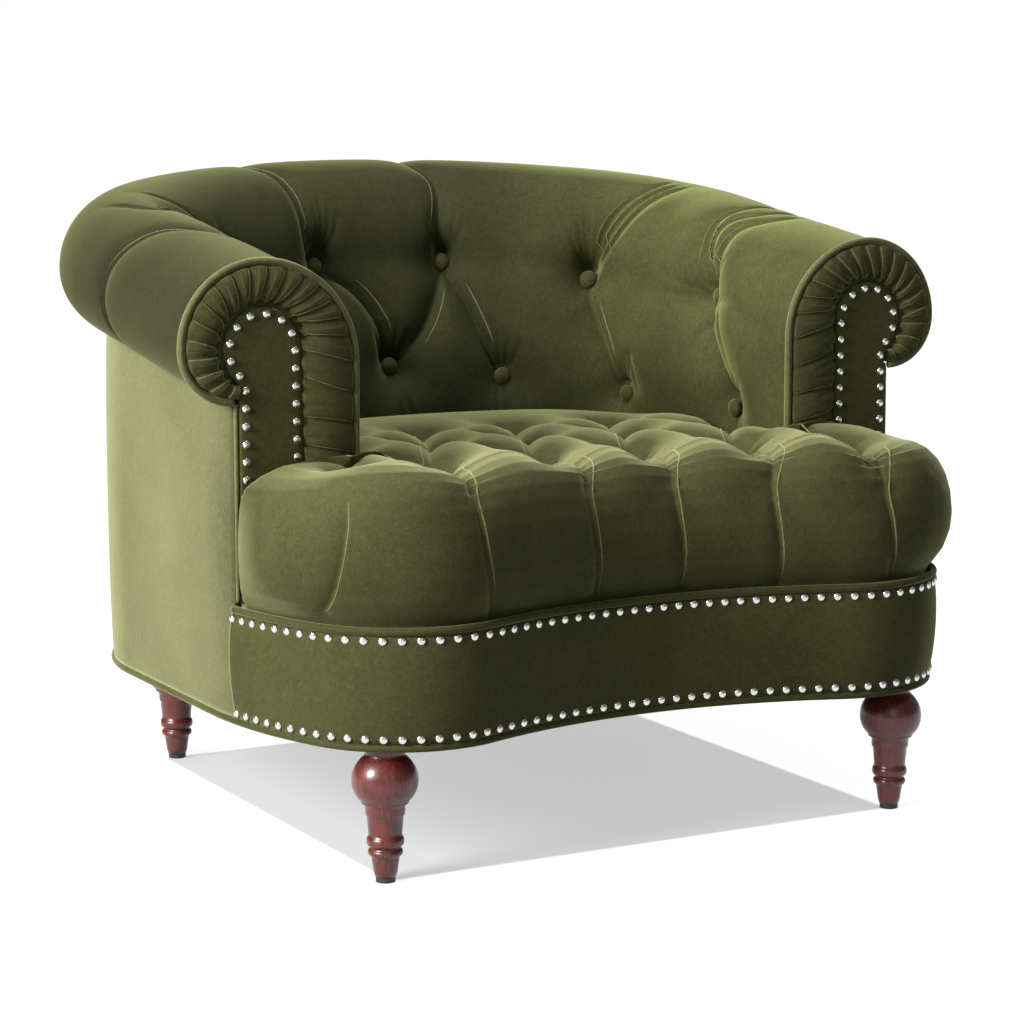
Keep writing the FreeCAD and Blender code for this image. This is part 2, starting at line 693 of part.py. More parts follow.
def make_seat_support():
    """Webbing over the rails and the deck cloth over the webbing."""
    inside = prism(base_wire(size("web_end_margin"), RAIL_TOP), size("web_thickness"))
    half = size("web_width") / 2
    straps = []
    for step in range(-3, 4):
        x = step * size("web_pitch")
        strap = box(Vector(x - half, -HALF_DEPTH, RAIL_TOP),
                    Vector(x + half, HALF_DEPTH, RAIL_TOP + size("web_thickness")))
        straps.append(strap.common(inside))
    shaped("seat_webbing", Part.makeCompound(straps))
    edge = ROLL_INSET - POST_IN + size("pad_gap")
    level = RAIL_TOP + size("web_thickness")
    cloth = prism(base_wire(edge, level), size("cloth_thickness"))
    inner = ROLL_LINE.half_width - size("inner_reach_arm") + size("arm_skin") - size("pad_gap")
    for side in (-1, 1):
        near = min(side * inner, side * HALF_WIDTH)
        notch = box(Vector(near, BOARD_FRONT - size("pad_gap"), level),
                    Vector(near + HALF_WIDTH - inner, BOARD_REAR + size("pad_gap"), DECK))
        cloth = cloth.cut(notch)
    shaped("seat_deck_cloth", cloth)


def make_dust_cover():
    """Cloth under the frame, cut out round the legs."""
    level = RAIL_BOTTOM - size("dust_thickness")
    cloth = prism(base_wire(size("dust_margin"), level), size("dust_thickness"))
    radius = LEG_LINE_SHARES[-1][0] * size("leg_ball_radius") + size("pad_gap")
    for x, y in LEG_PLACES.values():
        cloth = cloth.cut(Part.makeCylinder(radius, size("dust_thickness"),
                                            Vector(x, y, level)))
    shaped("dust_cover", cloth)


def make_covers():
    """Apron over the front rail, and the outside cover of the arms and back."""
    shaped("apron", prism(front_band_wire(0, COVER, BOARD_FRONT, APRON_BOTTOM),
                          APRON_TOP - APRON_BOTTOM))
    shoulder = BOARD_FRONT + GAP
    sides = prism(base_wire(0, APRON_BOTTOM), size("back_height")).cut(
        prism(base_wire(COVER, APRON_BOTTOM), size("back_height")))
    behind = box(Vector(-HALF_WIDTH, shoulder, APRON_BOTTOM),
                 Vector(HALF_WIDTH, HALF_DEPTH, size("back_height") + APRON_BOTTOM))
    above = tilted_slab(-LIP_DROP - GAP, HALF_DEPTH + HALF_WIDTH)
    shaped("outside_cover", sides.common(behind).cut(above))


def cord_along(wire, radius):
    """Cord of eight flats along a path of lines and tangent arcs."""
    edge = wire.OrderedEdges[0]
    start = edge.valueAt(edge.FirstParameter)
    tangent = edge.tangentAt(edge.FirstParameter)
    ring = Part.Wire(Part.makeCircle(radius, start, tangent))
    corners = ring.discretize(Number=CORD_FLATS + 1)
    return wire.makePipeShell([Part.makePolygon(corners)], True, True)


def make_welts():
    """Piped cords: round the base, and between apron and seat."""
    base_path = Part.Wire(Part.__sortEdges__(
        Serpentine(size("welt_radius") / 4).edges(Serpentine().shoulder.y, BASE_WELT_Z)
        + BASE.inset(size("welt_radius") / 4).edges(Serpentine().shoulder.y, BASE_WELT_Z)))
    shaped("base_welt", cord_along(base_path, WELT))
    seat_path = Part.Wire(Part.__sortEdges__(
        Serpentine().edges(ARM_FRONT, SEAT_WELT_Z)))
    shaped("seat_welt", cord_along(seat_path, WELT))


def button_stations():
    """Upper and lower buttons: station, height and how far in the pleat lies."""
    upper_z = [size("upper_button_z_back"), size("upper_button_z_corner"),
               size("upper_button_z_arm")]
    lower_z = [size("lower_button_z_back"), size("lower_button_z_flank"),
               size("lower_button_z_corner"), size("lower_button_z_arm")]
    upper = []
    lower = []
    for side in (-1, 1):
        for share, z in zip(UPPER_BUTTON_SHARES, upper_z):
            upper.append((side * share * ROLL_HALF, z))
        for share, z in zip(LOWER_BUTTON_SHARES, lower_z):
            if share > 0 or side > 0:
                lower.append((side * share * ROLL_HALF, z))
    return upper, lower


def inner_reach(share):
    """Middle of the roll to the inside shoulder, from the back (0) to the arms (1)."""
    back, side, front = (size("inner_reach_back"), size("inner_reach_side"),
                         size("inner_reach_arm"))
    if share < UPPER_BUTTON_SHARES[2]:
        return back + (side - back) * share / UPPER_BUTTON_SHARES[2]
    rest = (share - UPPER_BUTTON_SHARES[2]) / (1 - UPPER_BUTTON_SHARES[2])
    return side + (front - side) * rest


class PadSection:
    """Upright section of the inside pad and its roll at one station."""

    def __init__(self, distance):
        self.point, self.outward = ROLL_LINE.station(distance)
        self.share = abs(distance) / ROLL_HALF
        self.shoulder = -inner_reach(self.share)
        self.well = -WELL.reach(self.point, self.outward * -1)
        self.wall_top = size("well_wall_top")

    def at(self, out, z):
        """Point at a distance outward and a height above the floor."""
        level = self.point + self.outward * out
        return Vector(level.x, level.y, z)

    def on_roll(self, out, level):
        """Point at a distance outward and a level above the roll's plane."""
        place = self.point + self.outward * out
        return Vector(place.x, place.y, roll_z(place.y, level))

    def face_out(self, z):
        """Distance outward of the straight line from wall to shoulder."""
        shoulder_z = roll_z(self.point.y, -size("roll_inner_drop"))
        rise = (z - self.wall_top) / (shoulder_z - self.wall_top)
        return self.well + (self.shoulder - self.well) * rise

    def wire(self, pinch_roll, pinch_face):
        """Closed section; the pinches draw in the roll and the inside face."""
        drop = size("roll_inner_drop")
        radius = ROLL - pinch_roll * size("roll_pleat_pinch")
        shoulder = self.shoulder + pinch_roll * size("pleat_pinch")
        rise = radius + drop
        slant = math.sqrt(0.5)
        belly = size("belly") - pinch_face * size("pleat_pinch")
        shoulder_z = roll_z(self.point.y, -drop)
        middle_z = (self.wall_top + shoulder_z) / 2
        deck = self.at(self.well, DECK + GAP)
        wall = self.at(self.well, self.wall_top)
        face = self.at(self.face_out(middle_z) - belly, middle_z)
        turn_in = self.on_roll(shoulder, -drop)
        crown = self.on_roll(0, radius)
        inner_mid = self.on_roll(shoulder * slant, rise * slant - drop)
        outer_mid = self.on_roll(radius * slant, radius * slant)
        outermost = self.on_roll(radius, 0)
        lip = self.on_roll(COVER_OUT, -LIP_DROP)
        under_angle = math.asin(LIP_DROP / ROLL) / 2
        under = self.on_roll(ROLL * math.cos(under_angle), -ROLL * math.sin(under_angle))
        lip_in = self.on_roll(COVER_IN, -LIP_DROP)
        roof_out = self.on_roll(COVER_IN, -size("top_rail_drop"))
        roof_in = self.on_roll(PAD_WALL, -size("top_rail_drop"))
        heel = self.at(PAD_WALL, DECK + GAP)
        edges = [
            Part.LineSegment(deck, wall),
            Part.Arc(wall, face, turn_in),
            Part.Arc(turn_in, inner_mid, crown),
            Part.Arc(crown, outer_mid, outermost),
            Part.Arc(outermost, under, lip),
            Part.LineSegment(lip, lip_in),
            Part.LineSegment(lip_in, roof_out),
            Part.LineSegment(roof_out, roof_in),
            Part.LineSegment(roof_in, heel),
            Part.LineSegment(heel, deck),
        ]
        return Part.Wire([edge.toShape() for edge in edges])


def board_wire(margin, y, foot_z):
    """Scroll outline of an arm front on the right side, moved inward."""
    centre_x = ROLL_LINE.half_width
    centre_z = roll_z(ARM_FRONT, 0)
    radius = ROLL - margin
    reach = size("inner_reach_arm") - margin
    drop = size("roll_inner_drop")
    slant = math.sqrt(0.5)
    outer_x = Serpentine().start(ARM_FRONT, 0).x - margin
    out = outer_x - centre_x
    neck = math.sqrt(radius ** 2 - out ** 2)
    half_turn = math.asin(neck / radius) / 2

    def at(x, z):
        return Vector(centre_x + x, y, z)

    foot_in = at(-reach, foot_z)
    turn_in = at(-reach, centre_z - drop)
    crown = at(0, centre_z + radius)
    outermost = at(radius, centre_z)
    nape = at(out, centre_z - neck)
    edges = [
        Part.LineSegment(foot_in, turn_in),
        Part.Arc(turn_in, at(-reach * slant, centre_z - drop + (radius + drop) * slant), crown),
        Part.Arc(crown, at(radius * slant, centre_z + radius * slant), outermost),
        Part.Arc(outermost, at(radius * math.cos(half_turn),
                               centre_z - radius * math.sin(half_turn)), nape),
        Part.LineSegment(nape, at(out, foot_z)),
        Part.LineSegment(at(out, foot_z), foot_in),
    ]
    return Part.Wire([edge.toShape() for edge in edges])


def keyhole_edges(margin, y, foot_z):
    """Keyhole outline on the right side: up the inside, over the head, down."""
    centre = Vector(size("keyhole_centre_x"), y, size("keyhole_centre_z"))
    radius = size("keyhole_radius") - margin
    neck_x = size("keyhole_neck_x") - margin
    neck_angle = math.acos((neck_x - centre.x) / radius)
    neck = centre + Vector(neck_x - centre.x, 0, -radius * math.sin(neck_angle))
    crown = centre + Vector(0, 0, radius)
    side = centre + Vector(-radius, 0, 0)
    slant = math.sqrt(0.5)
    turn = (math.pi / 2 + neck_angle) / 2 - neck_angle
    return [
        Part.LineSegment(Vector(size("keyhole_inner_foot_x") + margin, y, foot_z), side),
        Part.Arc(side, centre + Vector(-radius * slant, 0, radius * slant), crown),
        Part.Arc(crown, centre + Vector(radius * math.cos(turn), 0,
                                        radius * math.sin(turn)), neck),
        Part.LineSegment(neck, Vector(size("keyhole_foot_x") - margin, y, foot_z)),
    ]


def both_sides(label, shape):
    """Right piece as given and its left twin."""
    shaped("right_" + label, shape)
    shaped("left_" + label, shape.mirror(Vector(), Vector(1, 0, 0)))


def make_arm_fronts():
    """Arm boards, ruched borders, keyhole panels and welts."""
    skin = size("arm_skin")
    board = Part.Face(board_wire(skin, BOARD_FRONT, RAIL_TOP))
    both_sides("arm_board", board.extrude(Vector(0, size("board_thickness"), 0)))
    foot_z = size("keyhole_foot_z")
    outline = keyhole_edges(0, BOARD_FRONT, foot_z)
    shapes = [edge.toShape() for edge in outline]
    ends = [shape.Vertexes for shape in (shapes[0], shapes[-1])]
    foot = Part.LineSegment(ends[1][1].Point, ends[0][0].Point).toShape()
    keyhole = Part.Face(Part.Wire(Part.__sortEdges__(shapes + [foot])))
    panel = keyhole.extrude(Vector(0, -size("panel_thickness"), 0))
    both_sides("keyhole_panel", panel)
    border = Part.Face(board_wire(size("border_margin"), BOARD_FRONT, foot_z)).extrude(
        Vector(0, -size("border_thickness"), 0))
    gap_outline = [edge.toShape() for edge in keyhole_edges(-GAP, BOARD_FRONT,
                                                            foot_z - size("cut_overrun"))]
    gap_ends = [gap_outline[0].Vertexes[0].Point, gap_outline[-1].Vertexes[1].Point]
    wide = Vector(size("cut_overrun"), 0, 0)
    outer_edge = [
        Part.LineSegment(gap_ends[1], gap_ends[1] + wide).toShape(),
        Part.LineSegment(gap_ends[1] + wide, gap_outline[-1].Vertexes[0].Point + wide).toShape(),
        Part.LineSegment(gap_outline[-1].Vertexes[0].Point + wide,
                         gap_outline[-1].Vertexes[0].Point).toShape(),
    ]
    slot = Part.Wire(Part.__sortEdges__(
        gap_outline + [Part.LineSegment(gap_ends[1], gap_ends[0]).toShape()]))
    side_slot = Part.Wire(Part.__sortEdges__(outer_edge + [gap_outline[-1]]))
    depth = Vector(0, -size("border_thickness"), 0)
    ruched = border.cut(Part.Face(slot).extrude(depth)).cut(Part.Face(side_slot).extrude(depth))
    both_sides("ruched_border", ruched)
    welt_margin = size("border_margin") - WELT - GAP
    welt_y = BOARD_FRONT - WELT - GAP
    path = Part.Wire(board_wire(welt_margin, welt_y, foot_z).OrderedEdges[:5])
    both_sides("arm_welt", cord_along(path, WELT))


def make_back_pad():
    """Inside back and arms with the roll, drawn in at the pleats and buttons."""
    end = ROLL_LINE.half_length(BOARD_FRONT + GAP)
    stations = [(share * ROLL_HALF, 1, 0) for share in UPPER_BUTTON_SHARES]
    stations += [(share * ROLL_HALF, 0, 1) for share in LOWER_BUTTON_SHARES]
    stations += [(share * ROLL_HALF, 0, 0) for share in PLAIN_STATION_SHARES]
    stations += [(end, 0, 0)]
    stations += [(-run, roll, face) for run, roll, face in stations if run > 0]
    wires = [PadSection(run).wire(roll, face) for run, roll, face in sorted(stations)]
    pad = Part.makeLoft(wires, True, True)
    for side in (1, -1):
        pocket = Part.Face(board_wire(size("arm_skin") - GAP, BOARD_FRONT, DECK)).extrude(
            Vector(0, size("board_thickness") + GAP, 0))
        if side < 0:
            pocket = pocket.mirror(Vector(), Vector(1, 0, 0))
        pad = pad.cut(pocket)
    upper, lower = button_stations()
    for run, z in upper + lower:
        pad = pad.cut(dimple(run, z))
    shaped("back_and_arm_pad", pad)


def button_seat(run, z):
    """Middle of a button's seat and the direction that it faces."""
    section = PadSection(run)
    shoulder_z = roll_z(section.point.y, -size("roll_inner_drop"))
    middle_z = (section.wall_top + shoulder_z) / 2
    spread = 1 - ((z - middle_z) / (shoulder_z - middle_z)) ** 2
    surface = section.face_out(z) - max(spread, 0) * (size("belly") - size("pleat_pinch"))
    if z > middle_z + (shoulder_z - middle_z) / 2:
        surface = section.face_out(z) + size("pleat_pinch")
    place = section.at(surface + size("button_sink"), z)
    return place, section.outward * -1


def dimple(run, z):
    """Cutting solid of the dimple round a button."""
    seat, facing = button_seat(run, z)
    floor_radius = size("button_radius") + GAP
    mouth = size("dimple_radius")
    depth = size("button_sink") + size("pleat_pinch") + size("belly")
    return placed(diamond_hollow(floor_radius * math.sqrt(2), mouth, depth), seat, facing)


def diamond_hollow(floor, mouth, depth):
    """Four-sided hollow between two diamonds, given by their half diagonals."""
    wires = []
    for reach, z in ((floor, 0), (mouth, depth)):
        corners = [Vector(reach, 0, z), Vector(0, reach, z), Vector(-reach, 0, z),
                   Vector(0, -reach, z)]
        wires.append(Part.makePolygon(corners + corners[:1]))
    return Part.makeLoft(wires, True, True)


def placed(shape, place, facing):
    """Copy of a shape at a place, its +Z turned to a direction."""
    copy = shape.copy()
    copy.Placement = FreeCAD.Placement(place, FreeCAD.Rotation(Vector(0, 0, 1), facing))
    return copy


def domed_head(radius, rise, flats, tiers):
    """Faceted dome on a flat underside, facing +Z.

    Each tier is a ring, given as shares of the radius and of the rise.
    """
    rings = []
    for reach, lift in tiers:
        circle = Part.makeCircle(radius * reach, Vector(0, 0, rise * lift))
        rings.append(Part.Wire(circle).discretize(Number=flats + 1))
    apex = Vector(0, 0, rise)
    faces = [Part.Face(Part.makePolygon(rings[0]))]
    for lower, upper in zip(rings, rings[1:]):
        for a, b, c, d in zip(lower, lower[1:], upper[1:], upper):
            faces.append(Part.Face(Part.makePolygon([a, b, c, d, a])))
    for near, far in zip(rings[-1], rings[-1][1:]):
        faces.append(Part.Face(Part.makePolygon([near, far, apex, near])))
    return Part.Solid(Part.Shell(faces))


def nail_head():
    """Decorative nail."""
    return domed_head(size("nail_radius"), size("nail_rise"), NAIL_FLATS, NAIL_TIERS)


def make_buttons():
    """Covered buttons in the dimples of the back and arms."""
    button = domed_head(size("button_radius"), size("button_rise"), BUTTON_FLATS,
                        BUTTON_TIERS)
    for label, places in zip(("upper_buttons", "lower_buttons"), button_stations()):
        heads = []
        for run, z in places:
            seat, facing = button_seat(run, z)
            heads.append(placed(button, seat, facing))
        shaped(label, Part.makeCompound(heads))


def make_apron_nails():
    """Nail rows under the seat welt and over the base welt."""
    nail = nail_head()
    rows = {
        "upper_apron_nails": SEAT_WELT_Z - size("nail_row_gap"),
        "lower_apron_nails": BASE_WELT_Z + size("nail_row_gap"),
    }
    for label, z in rows.items():
        heads = []
        for point, outward in Serpentine().walk(ARM_FRONT, size("nail_pitch")):
            place = point + outward * GAP
            heads.append(placed(nail, Vector(place.x, place.y, z), outward))
        shaped(label, Part.makeCompound(heads))


def make_arm_nails():
    """Nails along the edge of each keyhole panel."""
    nail = nail_head()
    edges = keyhole_edges(size("nail_margin"), ARM_FRONT, size("nail_lowest_z"))
    path = Part.Wire([edge.toShape() for edge in edges])
    count = int(path.Length / size("nail_pitch"))
    heads = [placed(nail, point, Vector(0, -1, 0))
             for point in path.discretize(Number=count + 1)]
    both_sides("arm_nails", Part.makeCompound(heads))


def seat_wire(over, stem, z, tilt):
    """Outline of the seat, tilted back: serpentine ears and the stem between the arms."""
    ear = BOARD_FRONT - size("border_thickness") - GAP
    front = Serpentine(over)
    well = WELL.inset(size("seat_gap") + stem)
    edges = front.edges(ear, z) + well.edges(ear, z)
    corner = front.start(ear, z)
    for side in (1, -1):
        edges.append(Part.LineSegment(Vector(side * corner.x, ear, z),
                                      Vector(side * well.half_width, ear, z)).toShape())
    wire = Part.Wire(Part.__sortEdges__(edges))
    wire.rotate(Vector(0, SEAT_CREST, z), Vector(-1, 0, 0), tilt)
    return wire


def seat_levels():
    """Sections of the seat: height, inset of front and stem, and tilt."""
    levels = []
    over_welt = SEAT_WELT_Z + WELT
    tilt = math.degrees(math.atan2(size("seat_fall"), size("well_back") - SEAT_CREST))
    for z, inset in zip((DECK + GAP, over_welt), SEAT_FOOT_SHARES):
        levels.append((z, inset * WELT, 0, 0))
    for rise, over, stem in SEAT_BODY_SHARES:
        levels.append((over_welt + rise * (size("seat_height") - over_welt),
                       over * size("seat_overhang"), stem * size("seat_overhang"), rise * tilt))
    return levels


def seat_top(y):
    """Height of the seat's top at a depth: it falls from the crest to the back."""
    fall = (y - SEAT_CREST) / (size("well_back") - SEAT_CREST)
    return size("seat_height") - size("seat_fall") * fall


def seat_tufts():
    """Places of the seat tufts, staggered row by row."""
    pitch = size("seat_tuft_pitch")
    first = BASE_FRONT + size("seat_tuft_setback")
    rows = ((0, (-2.5, -1.5, -0.5, 0.5, 1.5, 2.5)), (1, (-2, -1, 0, 1, 2)),
            (2, (-1.5, -0.5, 0.5, 1.5)))
    places = []
    for row, steps in rows:
        for step in steps:
            places.append((step * pitch, first + row * size("seat_tuft_row_gap")))
    return places


def seat_pleat(share):
    """Cutting solid of a front pleat: a notch that follows the seat's edge."""
    front = Serpentine()
    half = sum(front.runs(ARM_FRONT))
    point, outward = front.place(share * half, front.runs(ARM_FRONT))
    along = Vector(-outward.y, outward.x, 0)
    path = []
    for z, over, _, _ in seat_levels():
        path.append(point - outward * over + Vector(0, 0, z))
    path[0] -= Vector(0, 0, WELT)
    path.append(path[-1] - outward * size("seat_overhang"))
    wires = []
    for index, place in enumerate(path):
        before = path[max(index - 1, 0)]
        after = path[min(index + 1, len(path) - 1)]
        away = (after - before).cross(along).normalize()
        depth = size("seat_pleat_depth") * (0 if index == len(path) - 1 else 1)
        wide = along * size("seat_pleat_width")
        mouth = place + away * size("seat_pleat_depth")
        wires.append(Part.makePolygon([mouth + wide, place - away * depth, mouth - wide,
                                       mouth + wide]))
    return Part.makeLoft(wires, True, True)


def make_seat():
    """Crowned seat with its bulge, front pleats and sewn tufts."""
    wires = [seat_wire(over, stem, z, tilt) for z, over, stem, tilt in seat_levels()]
    seat = Part.makeLoft(wires, True, True)
    for share in SEAT_PLEAT_SHARES:
        for side in (-1, 1):
            seat = seat.cut(seat_pleat(side * share))
    radius = size("seat_tuft_radius")
    depth = size("seat_tuft_depth")
    hollow = diamond_hollow(size("welt_radius"), radius, depth)
    for x, y in seat_tufts():
        seat = seat.cut(placed(hollow, Vector(x, y, seat_top(y) - depth), Vector(0, 0, 1)))
    shaped("seat_cushion", seat)


make_legs()
make_blocks()
make_leg_fasteners()
make_rails()
make_posts()
make_top_rail()
make_backing()
make_seat_support()
make_dust_cover()
make_covers()
make_welts()
make_arm_fronts()
make_back_pad()
make_buttons()
make_apron_nails()
make_arm_nails()
make_seat()
doc.recompute()

for obj in doc.Objects:
    if "Invalid" in obj.State or "Error" in obj.State:
        raise RuntimeError(f"{obj.Label} did not build: {obj.State}")
for piece in PIECES:
    if piece.Shape.isNull() or not piece.Shape.isValid() or not piece.Shape.Solids:
        raise RuntimeError(f"{piece.Label} is not a sound solid")

os.makedirs("parts", exist_ok=True)
for piece in PIECES:
    piece.Shape.exportStep(f"parts/{piece.Label}.step")
    print(piece.Label, len(piece.Shape.Solids), round(piece.Shape.Volume / 1000, 1))
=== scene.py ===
"""Tufted accent chair: velvet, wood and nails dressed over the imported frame."""

import json
import logging
import math
from dataclasses import dataclass, field
from enum import Enum

import bmesh
import bpy
import numpy as np
from mathutils import Matrix, Vector
from mathutils.bvhtree import BVHTree


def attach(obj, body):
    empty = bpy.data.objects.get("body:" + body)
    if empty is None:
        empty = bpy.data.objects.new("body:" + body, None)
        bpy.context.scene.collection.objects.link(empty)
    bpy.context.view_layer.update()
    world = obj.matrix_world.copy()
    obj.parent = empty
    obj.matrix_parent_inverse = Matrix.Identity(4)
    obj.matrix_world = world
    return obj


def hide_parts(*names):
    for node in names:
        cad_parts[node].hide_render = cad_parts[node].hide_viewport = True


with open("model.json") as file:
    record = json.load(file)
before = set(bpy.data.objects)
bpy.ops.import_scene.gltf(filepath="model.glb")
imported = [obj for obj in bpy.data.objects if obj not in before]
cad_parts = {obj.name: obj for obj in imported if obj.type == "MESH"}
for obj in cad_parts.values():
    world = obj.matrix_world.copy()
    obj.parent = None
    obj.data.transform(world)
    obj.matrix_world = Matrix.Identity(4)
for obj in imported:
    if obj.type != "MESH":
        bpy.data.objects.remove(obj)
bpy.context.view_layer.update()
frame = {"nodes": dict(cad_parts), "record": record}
LOG = logging.getLogger("chair")
Array = np.ndarray
Mesh = bpy.types.Mesh
Socket = bpy.types.NodeSocket
Material = bpy.types.Material
Colour = tuple[float, float, float]
Line = tuple[tuple[float, float], ...]
Lines = tuple[Line, ...]

ARM_FRONT = -0.242
BOARD_FRONT = -0.236
SHOULDER_Y = -0.17141
DECK_TOP = 0.2863
SEAT_WELT_Z = 0.293
BASE_WELT_Z = 0.161
ROLL_RADIUS = 0.097
LIP_OUT = 0.039
LIP_DROP = 0.0600
INNER_DROP = 0.021
ROLL_FRONT_Z = 0.590
ROLL_SLOPE = 0.1445
BAND_LOW = 0.1653
BAND_TOP = 0.2887
NAIL_RADIUS = 0.0050
NAIL_RISE = 0.0031
NAIL_PITCH = 0.020
CORD_RADIUS = 0.0043
SHOULDER_RADIUS = 0.550


def roll_z(y: Array, level: Array) -> Array:
    """Height of a level above the plane of the roll, which rises to the back."""
    return ROLL_FRONT_Z + ROLL_SLOPE * (y - ARM_FRONT) + level


@dataclass(frozen=True)
class Horseshoe:
    """Curve of straight sides, two corner arcs and a back arc, seen from above."""

    half_width: float
    back: float
    corner_radius: float
    turn: float = math.radians(55)

    def centres(self) -> tuple[float, float, float, float]:
        """Give the corner centre's x and y, the back centre's y and the back radius."""
        spread = self.half_width - self.corner_radius
        back_radius = self.corner_radius + spread / math.cos(self.turn)
        centre_y = self.back - back_radius
        return spread, centre_y + spread * math.tan(self.turn), centre_y, back_radius

    def station(self, run: Array) -> tuple[Array, Array]:
        """Walk along the curve from the middle of the back.

        Args:
            run: Distances from the middle, negative on the left.

        Returns:
            Points and outward directions, each as x and y.
        """
        corner_x, corner_y, centre_y, back_radius = self.centres()
        first = back_radius * (math.pi / 2 - self.turn)
        second = first + self.corner_radius * self.turn
        away = np.abs(run)
        side = np.where(run < 0, -1.0, 1.0)
        on_back = away <= first
        on_side = away > second
        angle = np.where(on_back, math.pi / 2 - away / back_radius,
                         self.turn - (away - first) / self.corner_radius)
        angle = np.where(on_side, 0.0, angle)
        radius = np.where(on_back, back_radius, self.corner_radius)
        x = np.where(on_back, 0.0, corner_x) + radius * np.cos(angle)
        y = np.where(on_back, centre_y, corner_y) + radius * np.sin(angle)
        y = np.where(on_side, corner_y - (away - second), y)
        return (np.stack([side * x, y], -1),
                np.stack([side * np.cos(angle), np.sin(angle)], -1))

    def half_length(self, front: float) -> float:
        """Length from the middle of the back to a front end at a depth."""
        _, corner_y, _, back_radius = self.centres()
        return (back_radius * (math.pi / 2 - self.turn) + self.corner_radius * self.turn
                + corner_y - front)

    def holds(self, points: Array) -> Array:
        """Tell which points lie inside the curve."""
        corner_x, corner_y, centre_y, back_radius = self.centres()
        x, y = np.abs(points[..., 0]), points[..., 1]
        from_corner = np.hypot(x - corner_x, y - corner_y)
        from_centre = np.hypot(x, y - centre_y)
        at_corner = np.arctan2(y - corner_y, x - corner_x) <= self.turn
        curved = np.where(at_corner, from_corner <= self.corner_radius,
                          from_centre <= back_radius)
        return np.where(y <= corner_y, x <= self.half_width, curved)

    def reach(self, points: Array, inward: Array) -> Array:
        """Measure from outer points along directions to this curve."""
        low = np.zeros(len(points))
        high = np.full(len(points), self.half_width)
        for _ in range(22):
            middle = (low + high) / 2
            inside = self.holds(points + inward * middle[:, None])
            high = np.where(inside, middle, high)
            low = np.where(inside, low, middle)
        return high


@dataclass(frozen=True)
class Serpentine:
    """Front curve of shoulder, bulge and recess, moved inward by an inset."""

    inset: float = 0.0
    bulge: tuple[float, float] = (0.28615, -0.325)
    bulge_radius: float = 0.140
    shoulder_radius: float = SHOULDER_RADIUS
    bulge_start: float = math.radians(-22)
    bulge_end: float = math.radians(-111.5)

    def spans(self, front: float) -> tuple[float, float, float]:
        """Give the lengths of recess, bulge and shoulder up to a depth."""
        spread = self.shoulder_radius - self.bulge_radius
        shoulder_y = self.bulge[1] - spread * math.sin(self.bulge_start)
        radius = self.shoulder_radius - self.inset
        opening = math.asin((front - shoulder_y) / radius)
        recess = self.bulge[0] / math.sin(self.recess_turn()) - self.bulge_radius
        return ((recess + self.inset) * self.recess_turn(),
                (self.bulge_radius - self.inset) * (self.bulge_start - self.bulge_end),
                radius * (opening - self.bulge_start))

    def recess_turn(self) -> float:
        """Give the angle by which the bulge turns into the recess."""
        return -math.pi / 2 - self.bulge_end

    def place(self, run: Array, front: float) -> tuple[Array, Array]:
        """Walk along the curve from the middle of the front.

        Args:
            run: Distances from the middle, negative on the left.
            front: Depth at which the curve ends.

        Returns:
            Points and outward directions, each as x and y.
        """
        recess_run, bulge_run, _ = self.spans(front)
        reach = self.bulge[0] / math.sin(self.recess_turn())
        recess_y = self.bulge[1] - reach * math.cos(self.recess_turn())
        recess_radius = reach - self.bulge_radius + self.inset
        spread = self.shoulder_radius - self.bulge_radius
        shoulder = (self.bulge[0] - spread * math.cos(self.bulge_start),
                    self.bulge[1] - spread * math.sin(self.bulge_start))
        away = np.abs(run)
        side = np.where(run < 0, -1.0, 1.0)
        in_recess = away <= recess_run
        in_bulge = away <= recess_run + bulge_run
        bulge_radius = self.bulge_radius - self.inset
        shoulder_radius = self.shoulder_radius - self.inset
        angle = np.where(
            in_recess, math.pi / 2 - away / recess_radius,
            np.where(in_bulge, self.bulge_end + (away - recess_run) / bulge_radius,
                     self.bulge_start + (away - recess_run - bulge_run) / shoulder_radius))
        radius = np.where(in_recess, recess_radius,
                          np.where(in_bulge, bulge_radius, shoulder_radius))
        base_x = np.where(in_recess, 0.0, np.where(in_bulge, self.bulge[0], shoulder[0]))
        base_y = np.where(in_recess, recess_y, np.where(in_bulge, self.bulge[1], shoulder[1]))
        turned = np.where(in_recess, -1.0, 1.0)
        points = np.stack([side * (base_x + radius * np.cos(angle)),
                           base_y + radius * np.sin(angle)], -1)
        outward = np.stack([side * turned * np.cos(angle), turned * np.sin(angle)], -1)
        return points, outward


BASE = Horseshoe(0.456, 0.427, 0.280)
ROLL_LINE = Horseshoe(0.417, 0.388, 0.241)
WELL = Horseshoe(0.298, 0.235, 0.190)
ROLL_HALF = ROLL_LINE.half_length(ARM_FRONT)


class Patch:
    """Surface points on a grid of two parameters."""

    def __init__(self, u: Array, v: Array, points: Array) -> None:
        """Keep the parameters and the points, which are len(u) by len(v) by 3."""
        self.u, self.v, self.points = u, v, points

    def at(self, u: Array, v: Array) -> Array:
        """Read points between the grid's own.

        Args:
            u: First parameters.
            v: Second parameters, as many.

        Returns:
            One point for each pair.
        """
        i = np.interp(u, self.u, np.arange(len(self.u)))
        j = np.interp(v, self.v, np.arange(len(self.v)))
        i0 = np.clip(i.astype(int), 0, len(self.u) - 2)
        j0 = np.clip(j.astype(int), 0, len(self.v) - 2)
        a, b = (i - i0)[:, None], (j - j0)[:, None]
        p = self.points
        return ((p[i0, j0] * (1 - a) + p[i0 + 1, j0] * a) * (1 - b)
                + (p[i0, j0 + 1] * (1 - a) + p[i0 + 1, j0 + 1] * a) * b)


